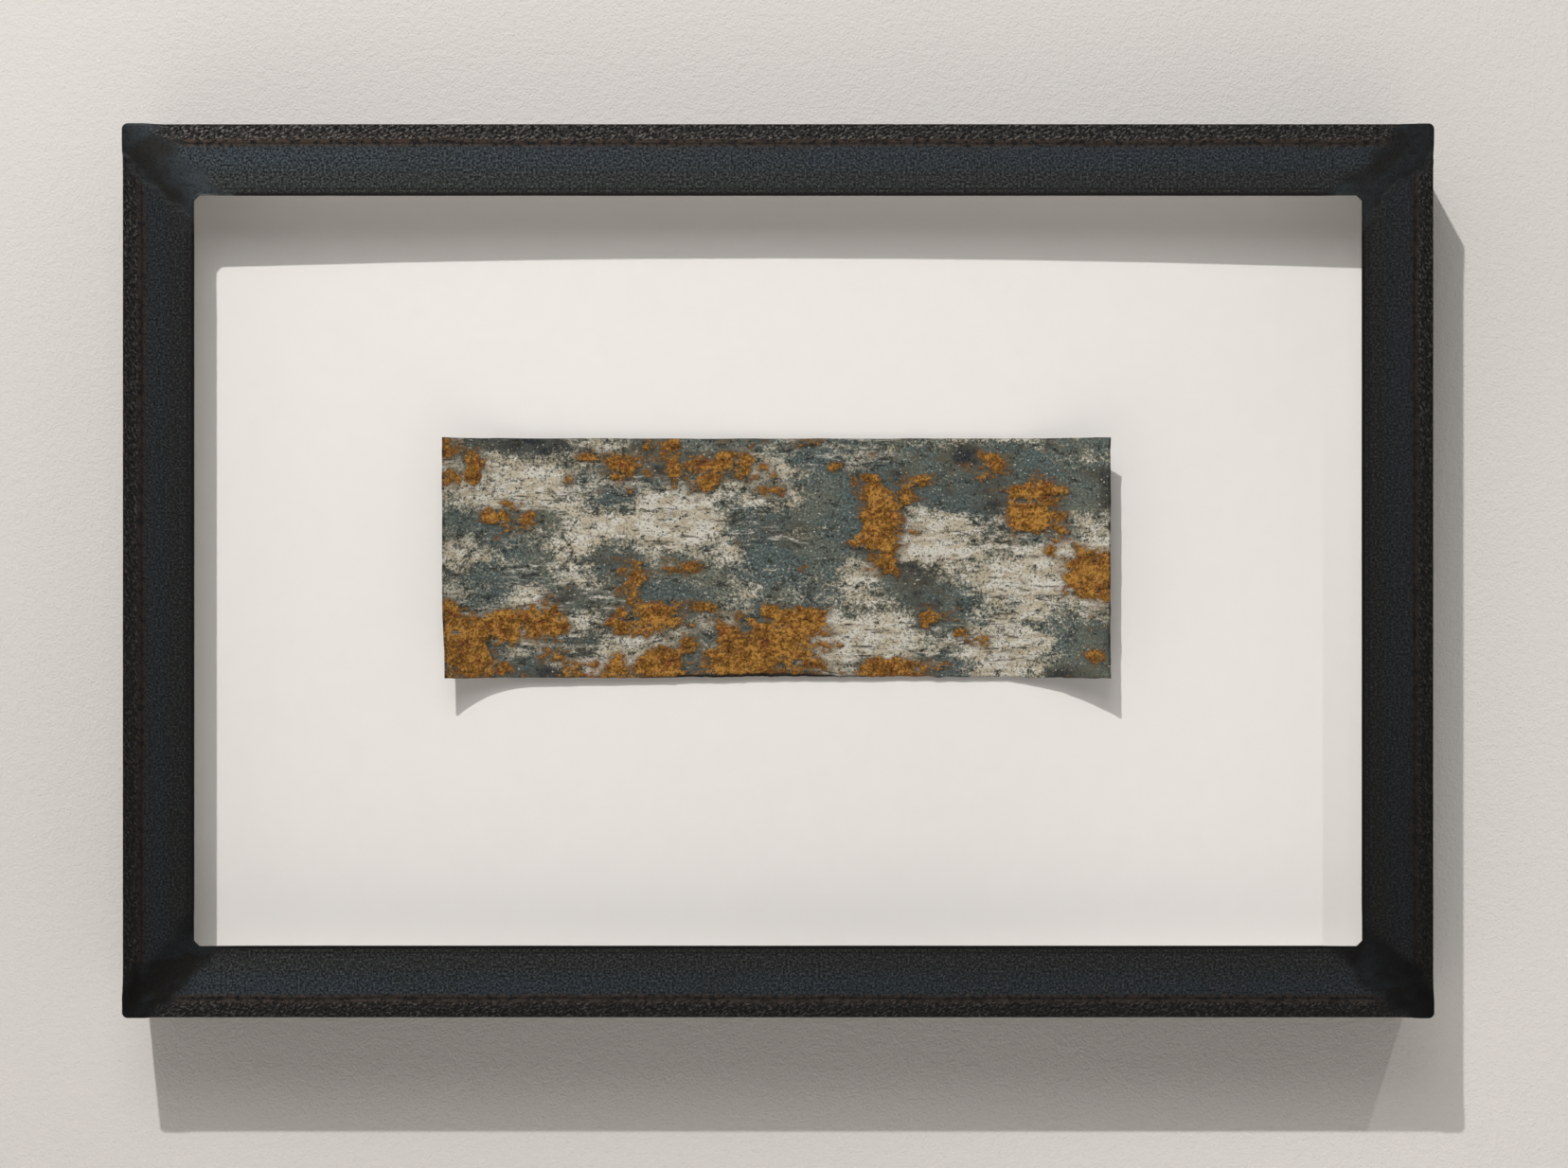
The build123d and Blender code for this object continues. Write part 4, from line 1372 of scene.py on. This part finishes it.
        # Painted shade: along the middle of the lower edge a dark strip stands for the shaded opening where
        # the layers part.
        parted = smoothstep(s / length, 0.28, 0.40) * smoothstep(s / length, 0.66, 0.52)
        shaded_opening = parted * (0.3 + self.crumb.layered(s / (26 * MM), s * 0 + 12, 3)) * 3.4 * MM
        above = z - lower[None, :]
        masks["gap"] = smoothstep(above, shaded_opening, shaded_opening * 0.55) * smoothstep(parted, 0.0, 0.2) * front
        masks["sheet_path"] = np.stack([s, z, np.zeros_like(s)], -1)
        if front:
            inner = smoothstep(rim, 0.0, 2.5 * MM)
            patina = self.crumb.layered(s / (3.2 * MM), z / (3.2 * MM), 3, 0.6) - 0.6
            bloom = smoothstep(masks["chalk"], 0.4, 0.8) * 0.12
            lift = self.thickness + inner * MM * (patina * 0.35 + bloom)
            tips = smoothstep(np.minimum(s, length - s), 8 * MM, 40 * MM)
            lift = lift + inner * tips * masks["crust"] * (0.25 + masks["rugged"]) * self.lump_height
            norm = np.hypot(1, slope)
            x = x + lift * slope / norm
            y = y - lift / norm
        place = np.stack([x, y, self.low.z + z], -1)
        return np.clip(place, np.array(self.low), np.array(self.high)), masks

    def build(self, coat: bpy.types.Material) -> bpy.types.Object:
        """Fine front, back with half as many points each way, and a rim of triangles between them.

        Args:
            coat: the sheet's material.

        Returns:
            The sheet.
        """
        half_columns = round((self.high.x - self.low.x) * 1.04 / self.step / 2)
        half_rows = round((self.high.z - self.low.z) / self.step / 2)
        columns, rows = 2 * half_columns + 1, 2 * half_rows + 1
        front, front_masks = self.surface(columns, rows, True)
        back, back_masks = self.surface(half_columns + 1, half_rows + 1, False)
        fine = np.arange(rows * columns).reshape(rows, columns)
        coarse = np.arange((half_rows + 1) * (half_columns + 1)).reshape(half_rows + 1, -1) + fine.size
        faces = grid_faces(rows, columns).tolist()
        faces += (grid_faces(half_rows + 1, half_columns + 1) + fine.size).tolist()
        for outer, inner in (
            (fine[0], coarse[0]),
            (fine[-1], coarse[-1]),
            (fine[:, 0], coarse[:, 0]),
            (fine[:, -1], coarse[:, -1]),
        ):
            first, between, last = outer[:-1:2], outer[1::2], outer[2::2]
            faces += np.stack([first, between, inner[:-1]], -1).tolist()
            faces += np.stack([between, last, inner[1:]], -1).tolist()
            faces += np.stack([between, inner[1:], inner[:-1]], -1).tolist()
        points = np.concatenate([front.reshape(-1, 3), back.reshape(-1, 3)])
        both = (front_masks, back_masks)
        masks = {key: np.concatenate([side[key].ravel() for side in both]) for key in self.MASKS}
        masks["sheet_path"] = np.concatenate([side["sheet_path"].reshape(-1, 3) for side in both])
        piece = make_piece("art_sheet_weathered", points, faces, masks)
        stand_in(piece, "art_sheet", BODY, coat)
        return piece


# ---------------------------------------------------------------- turn buttons


@dataclass
class TurnButton:
    """Stamped brass turn button: a round-ended plate with softened edges and a screw hole."""

    name: str
    hole_radius: float = 2.25 * MM
    edge_radius: float = 0.35 * MM
    around: int = 96

    def build(self, coat: bpy.types.Material) -> bpy.types.Object:
        """Ring of sections between the round-ended outline and the hole, closed both ways.

        Each section runs up the rounded outer edge, across the back, down the hole and across the front.

        Args:
            coat: its material.

        Returns:
            The button.
        """
        low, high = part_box(self.name)
        radius = min(high.x - low.x, high.z - low.z) / 2
        half_straight = np.array([high.x - low.x - 2 * radius, high.z - low.z - 2 * radius]) / 2
        middle = np.array([low.x + high.x, low.z + high.z]) / 2
        joint = next(j for j in frame["joints"] if j["child"] == self.name)
        pivot = np.array([joint["pos_m"][0], joint["pos_m"][2]])
        angle = np.linspace(0, 2 * math.pi, self.around, endpoint=False)
        ray = np.stack([np.cos(angle), np.sin(angle)], -1)
        end = half_straight * np.where(ray @ half_straight >= 0, 1, -1)[:, None]
        quarter = np.linspace(0, math.pi / 2, 5)
        soft = self.edge_radius
        inset = np.concatenate([soft * (1 - np.cos(quarter[::-1])), soft * (1 - np.cos(quarter))])
        up, thick = soft * (1 - np.sin(quarter)), high.y - low.y
        rise = np.concatenate([up[::-1], thick - up])
        outer = (middle + end)[None] + ray[None] * (radius - inset)[:, None, None]
        hole = pivot[None, None] + ray[None] * np.full((2, 1, 1), self.hole_radius)
        flat = np.concatenate([outer, hole])
        depth = np.concatenate([low.y + rise, [high.y, low.y]])
        depth = np.broadcast_to(depth[:, None], flat.shape[:2])
        points = np.stack([flat[..., 0], depth, flat[..., 1]], -1).reshape(-1, 3)
        faces = grid_faces(len(flat), self.around, wrap_rows=True, wrap_columns=True).tolist()
        piece = make_piece(f"{self.name}_stamped", points, faces, {})
        piece.data.polygons.foreach_set("use_smooth", np.zeros(len(piece.data.polygons), bool))
        stand_in(piece, self.name, self.name, coat)
        return piece


# ---------------------------------------------------------------- pieces kept from the CAD


@dataclass
class Fittings:
    """Everything whose CAD shape is right: it keeps that shape and gets its finish."""

    effects: Effects

    PLATED: ClassVar[tuple[str, ...]] = (
        "strainer_screws", "cover_screws", "float_screws", "float_washers", "button_screws",
        "button_washers", "frame_cleat_screws", "lower_spacer_screws",
    )

    def finishes(self) -> dict[str, bpy.types.Material]:
        """One material a group of CAD nodes.

        Returns:
            Materials by the start of the node names that they go on.
        """
        pine = ((0.66, 0.47, 0.27), (0.50, 0.30, 0.14), (0.32, 0.18, 0.08))
        birch = ((0.70, 0.55, 0.37), (0.60, 0.43, 0.26), (0.34, 0.22, 0.12))
        pine_along = Timber("Pine along", *pine).coat(self.effects)
        pine_upright = Timber("Pine upright", *pine, upright=True).coat(self.effects)
        ply = Timber("Birch ply", *birch, scale=16.0, plies=True).coat(self.effects)
        zinc = PlainMetal("Zinc plate", (0.62, 0.63, 0.65), (0.36, 0.37, 0.38), 0.28).coat(self.effects)
        return {
            **dict.fromkeys(("strainer_top", "strainer_bottom"), pine_along),
            **dict.fromkeys(("strainer_left", "strainer_right", "strainer_upright"), pine_upright),
            **dict.fromkeys(("frame_cleat", "wall_cleat", "lower_spacer"), ply),
            **dict.fromkeys(self.PLATED, zinc),
            "mount_board": Matt("Museum board", (0.90, 0.885, 0.865), (0.87, 0.85, 0.83), 0.85,
                                0.00002, 900.0).coat(self.effects),
            "spacer_": Matt("White batten", (0.85, 0.83, 0.80), (0.79, 0.77, 0.74), 0.6,
                            0.00004, 500.0).coat(self.effects),
            "back_cover": Matt("Hardboard", (0.20, 0.112, 0.058), (0.14, 0.075, 0.038), 0.6,
                               0.00008, 900.0, cloud_scale=55.0, amount=0.45).coat(self.effects),
            "tape_": Matt("Foam tape", (0.022, 0.022, 0.022), (0.04, 0.04, 0.04), 0.85,
                          0.0001, 1800.0).coat(self.effects),
            "setting_blocks": Matt("Neoprene", (0.03, 0.03, 0.031), (0.05, 0.05, 0.05), 0.6,
                                   0.00005, 700.0).coat(self.effects),
            "felt_strip": Matt("Wool felt", (0.06, 0.06, 0.065), (0.11, 0.11, 0.115), 0.95,
                               0.0006, 1500.0, amount=0.8).coat(self.effects),
            "float_riser": PlainMetal("Mill alloy", (0.66, 0.66, 0.66), (0.45, 0.45, 0.46),
                                      0.32).coat(self.effects),
            "button_lugs": PlainMetal("Lug steel", (0.10, 0.10, 0.10), (0.045, 0.04, 0.037),
                                      0.42).coat(self.effects),
            "glass_pane": Pane().coat(self.effects),
        }

    def dress(self) -> int:
        """Give each shown CAD node the finish whose name it starts with, the longest such name first.

        Returns:
            How many nodes were dressed.
        """
        finishes = self.finishes()
        order = sorted(finishes, key=len, reverse=True)
        dressed = 0
        for name, node in frame["nodes"].items():
            if node.hide_render:
                continue
            key = next(start for start in order if name.startswith(start))
            for holder in node.material_slots:
                holder.material = finishes[key]
            dressed += 1
        return dressed


# ---------------------------------------------------------------- wall, floor, light and camera


@dataclass
class Studio:
    """Pale stippled wall, plain floor, overhead lights and the camera."""

    centre: Vector
    face_y: float
    key_power: float = 100.0
    fill_power: float = 26.0
    second_power: float = 95.0
    room_light: float = 0.365
    back_power: float = 60.0
    hang_height: float = 1.5
    spot_radius: float = 0.03
    light_reach: float = 3.05
    light_height: float = 2.5
    wall_gap: float = 0.4 * MM
    wall_half: float = 4.0
    floor_half: float = 6.0
    floor_reach: float = 8.0
    camera_reach: float = 2.563
    camera_aside: float = 0.0041
    camera_below: float = 0.0091
    lens: float = 85.9
    sensor: float = 36.0

    def slab(self, name: str, corners: list[tuple], coat: bpy.types.Material) -> None:
        """One flat stage surface.

        Args:
            name: its name.
            corners: its four corners in order.
            coat: its material.
        """
        mesh = bpy.data.meshes.new(name)
        mesh.from_pydata(corners, [], [(0, 1, 2, 3)])
        mesh.materials.append(coat)
        surface = bpy.data.objects.new(name, mesh)
        bpy.context.scene.collection.objects.link(surface)
        surface.visible_shadow = False
        surface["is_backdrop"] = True

    def wall_coat(self) -> bpy.types.Material:
        """Roller-stippled paint, which is clear from behind so that the back of the frame can be seen.

        Returns:
            The material.
        """
        coat, s, shader = new_coat("Wall paint", Roughness=0.9, Specular_IOR_Level=0.2)
        place = s.place()
        stipple = s.plus(s.noise(place, 190.0, 3.0, 0.55), s.noise(place, 620.0, 2.0, 0.5))
        shade = s.ramp(s.noise(place, 1.6, 2.0), 0.3, 0.7)
        s.feed(shader.inputs["Base Color"], s.blend(shade, (0.70, 0.682, 0.660), (0.685, 0.667, 0.645)))
        s.feed(shader.inputs["Normal"], s.bump(stipple, 0.00066))
        clear = s.add("ShaderNodeBsdfTransparent")
        mix = s.add("ShaderNodeMixShader")
        s.feed(mix.inputs[0], s.add("ShaderNodeNewGeometry").outputs["Backfacing"])
        s.feed(mix.inputs[1], shader.outputs[0])
        s.feed(mix.inputs[2], clear.outputs[0])
        output = next(n for n in s.tree.nodes if n.bl_idname == "ShaderNodeOutputMaterial")
        s.feed(output.inputs["Surface"], mix.outputs[0])
        return coat

    def floor_coat(self) -> bpy.types.Material:
        """Pale sealed floor.

        Returns:
            The material.
        """
        coat, s, shader = new_coat("Floor", Roughness=0.7)
        shade = s.ramp(s.noise(s.place(), 3.0, 4.0), 0.3, 0.7)
        s.feed(shader.inputs["Base Color"], s.blend(shade, (0.78, 0.755, 0.725), (0.74, 0.715, 0.685)))
        return coat

    def hang(
        self, lamp: bpy.types.Light, place: tuple, target: Vector, power: float, colour: Colour
    ) -> None:
        """Hang a lamp, out of the camera's sight, and aim it.

        Args:
            lamp: the lamp, shaped.
            place: where it hangs.
            target: where it points.
            power: its power in watts.
            colour: its colour.
        """
        lamp.energy = power
        lamp.color = colour
        holder = bpy.data.objects.new(lamp.name, lamp)
        holder.location = place
        aim = target - Vector(place)
        holder.rotation_euler = aim.to_track_quat("-Z", "Y").to_euler()
        holder.visible_camera = False
        bpy.context.scene.collection.objects.link(holder)

    def light(self, name: str, place: tuple, size: float, power: float, colour: Colour) -> None:
        """Round light aimed at the middle of the frame.

        Args:
            name: name of the light.
            place: where it hangs.
            size: its width.
            power: its power in watts.
            colour: its colour.
        """
        lamp = bpy.data.lights.new(name, "AREA")
        lamp.shape = "DISK"
        lamp.size = size
        self.hang(lamp, place, self.centre, power, colour)

    def spot(self, name: str, place: tuple, target: tuple, cone: float, colour: Colour) -> None:
        """Narrow soft-edged spotlight.

        Args:
            name: name of the light.
            place: where it hangs.
            target: where it points.
            cone: full width of its beam, in degrees.
            colour: its colour.
        """
        lamp = bpy.data.lights.new(name, "SPOT")
        lamp.spot_size, lamp.spot_blend = math.radians(cone), 1.0
        lamp.shadow_soft_size = self.spot_radius
        self.hang(lamp, place, Vector(target), self.second_power, colour)

    def room(self) -> bpy.types.World:
        """Even room light, dimmer straight ahead of the frame, where the room lies in the dark.

        Returns:
            The world.
        """
        world = bpy.data.worlds.new("Room")
        world.use_nodes = True
        s = Sketch(world.node_tree)
        ahead = s.times(s.axis(s.add("ShaderNodeTexCoord").outputs["Generated"], "Y"), -1.0)
        dim = s.ramp(ahead, 0.55, 0.95)
        glow = world.node_tree.nodes["Background"]
        s.feed(glow.inputs["Color"], s.blend(dim, (1.0, 0.975, 0.94), (0.28, 0.28, 0.28)))
        s.feed(glow.inputs["Strength"], self.room_light)
        return world

    def build(self) -> None:
        """Put up the wall and floor, hang the lights and set the camera."""
        scene = bpy.context.scene
        mid, floor = self.centre.z, self.centre.z - self.hang_height
        behind, wide, top = self.wall_gap, self.wall_half, mid + self.wall_half
        wall = [(-wide, behind, floor), (wide, behind, floor), (wide, behind, top), (-wide, behind, top)]
        self.slab("stage_wall", wall, self.wall_coat())
        out, near = self.floor_half, -self.floor_reach
        ground = [(-out, near, floor), (out, near, floor), (out, out, floor), (-out, out, floor)]
        self.slab("stage_floor", ground, self.floor_coat())
        warm = (1.0, 0.975, 0.95)
        front, high = self.face_y - self.light_reach, mid + self.light_height
        self.light("key", (-0.73, front, high), 0.06, self.key_power, warm)
        self.light("fill", (-0.2, self.face_y - 3.0, mid + 1.9), 1.6, self.fill_power, warm)
        self.spot("second", (1.33, front, high), (0.60, 0.0, mid - 0.42), 15.0, warm)
        self.light("behind", (-1.2, 3.0, mid + 1.6), 1.4, self.back_power, (1.0, 1.0, 1.0))
        scene.world = self.room()
        lens = bpy.data.cameras.new("camera")
        lens.lens = self.lens
        lens.sensor_width = self.sensor
        lens.clip_start = 0.05
        holder = bpy.data.objects.new("camera", lens)
        holder.location = (self.camera_aside, self.face_y - self.camera_reach, mid - self.camera_below)
        holder.rotation_euler = (math.pi / 2, 0, 0)
        scene.collection.objects.link(holder)
        scene.camera = holder
        scene.view_settings.view_transform = "Standard"


def main() -> None:
    logging.basicConfig(level=logging.INFO, format="%(name)s: %(message)s")
    cad_low, cad_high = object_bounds()
    effects = Effects()
    steel_frame = SteelFrame()
    for piece in steel_frame.build(BlackenedSteel().coat(effects)):
        log.info("%s: %d faces", piece.name, len(piece.data.polygons))
    sheet = FloatedSheet().build(WeatheredPatina().coat(effects))
    log.info("%s: %d faces", sheet.name, len(sheet.data.polygons))
    brass = PlainMetal("Brass", (0.72, 0.50, 0.20), (0.42, 0.27, 0.10), 0.26).coat(effects)
    for body in sorted(frame["bodies"]):
        if body.startswith("turn_button"):
            log.info("%s", TurnButton(body).build(brass).name)
    log.info("dressed %d CAD nodes", Fittings(effects).dress())
    centre = Vector(((cad_low.x + cad_high.x) / 2, 0.0, (cad_low.z + cad_high.z) / 2))
    Studio(centre, steel_frame.face_y).build()


if __name__ == "__main__":
    main()
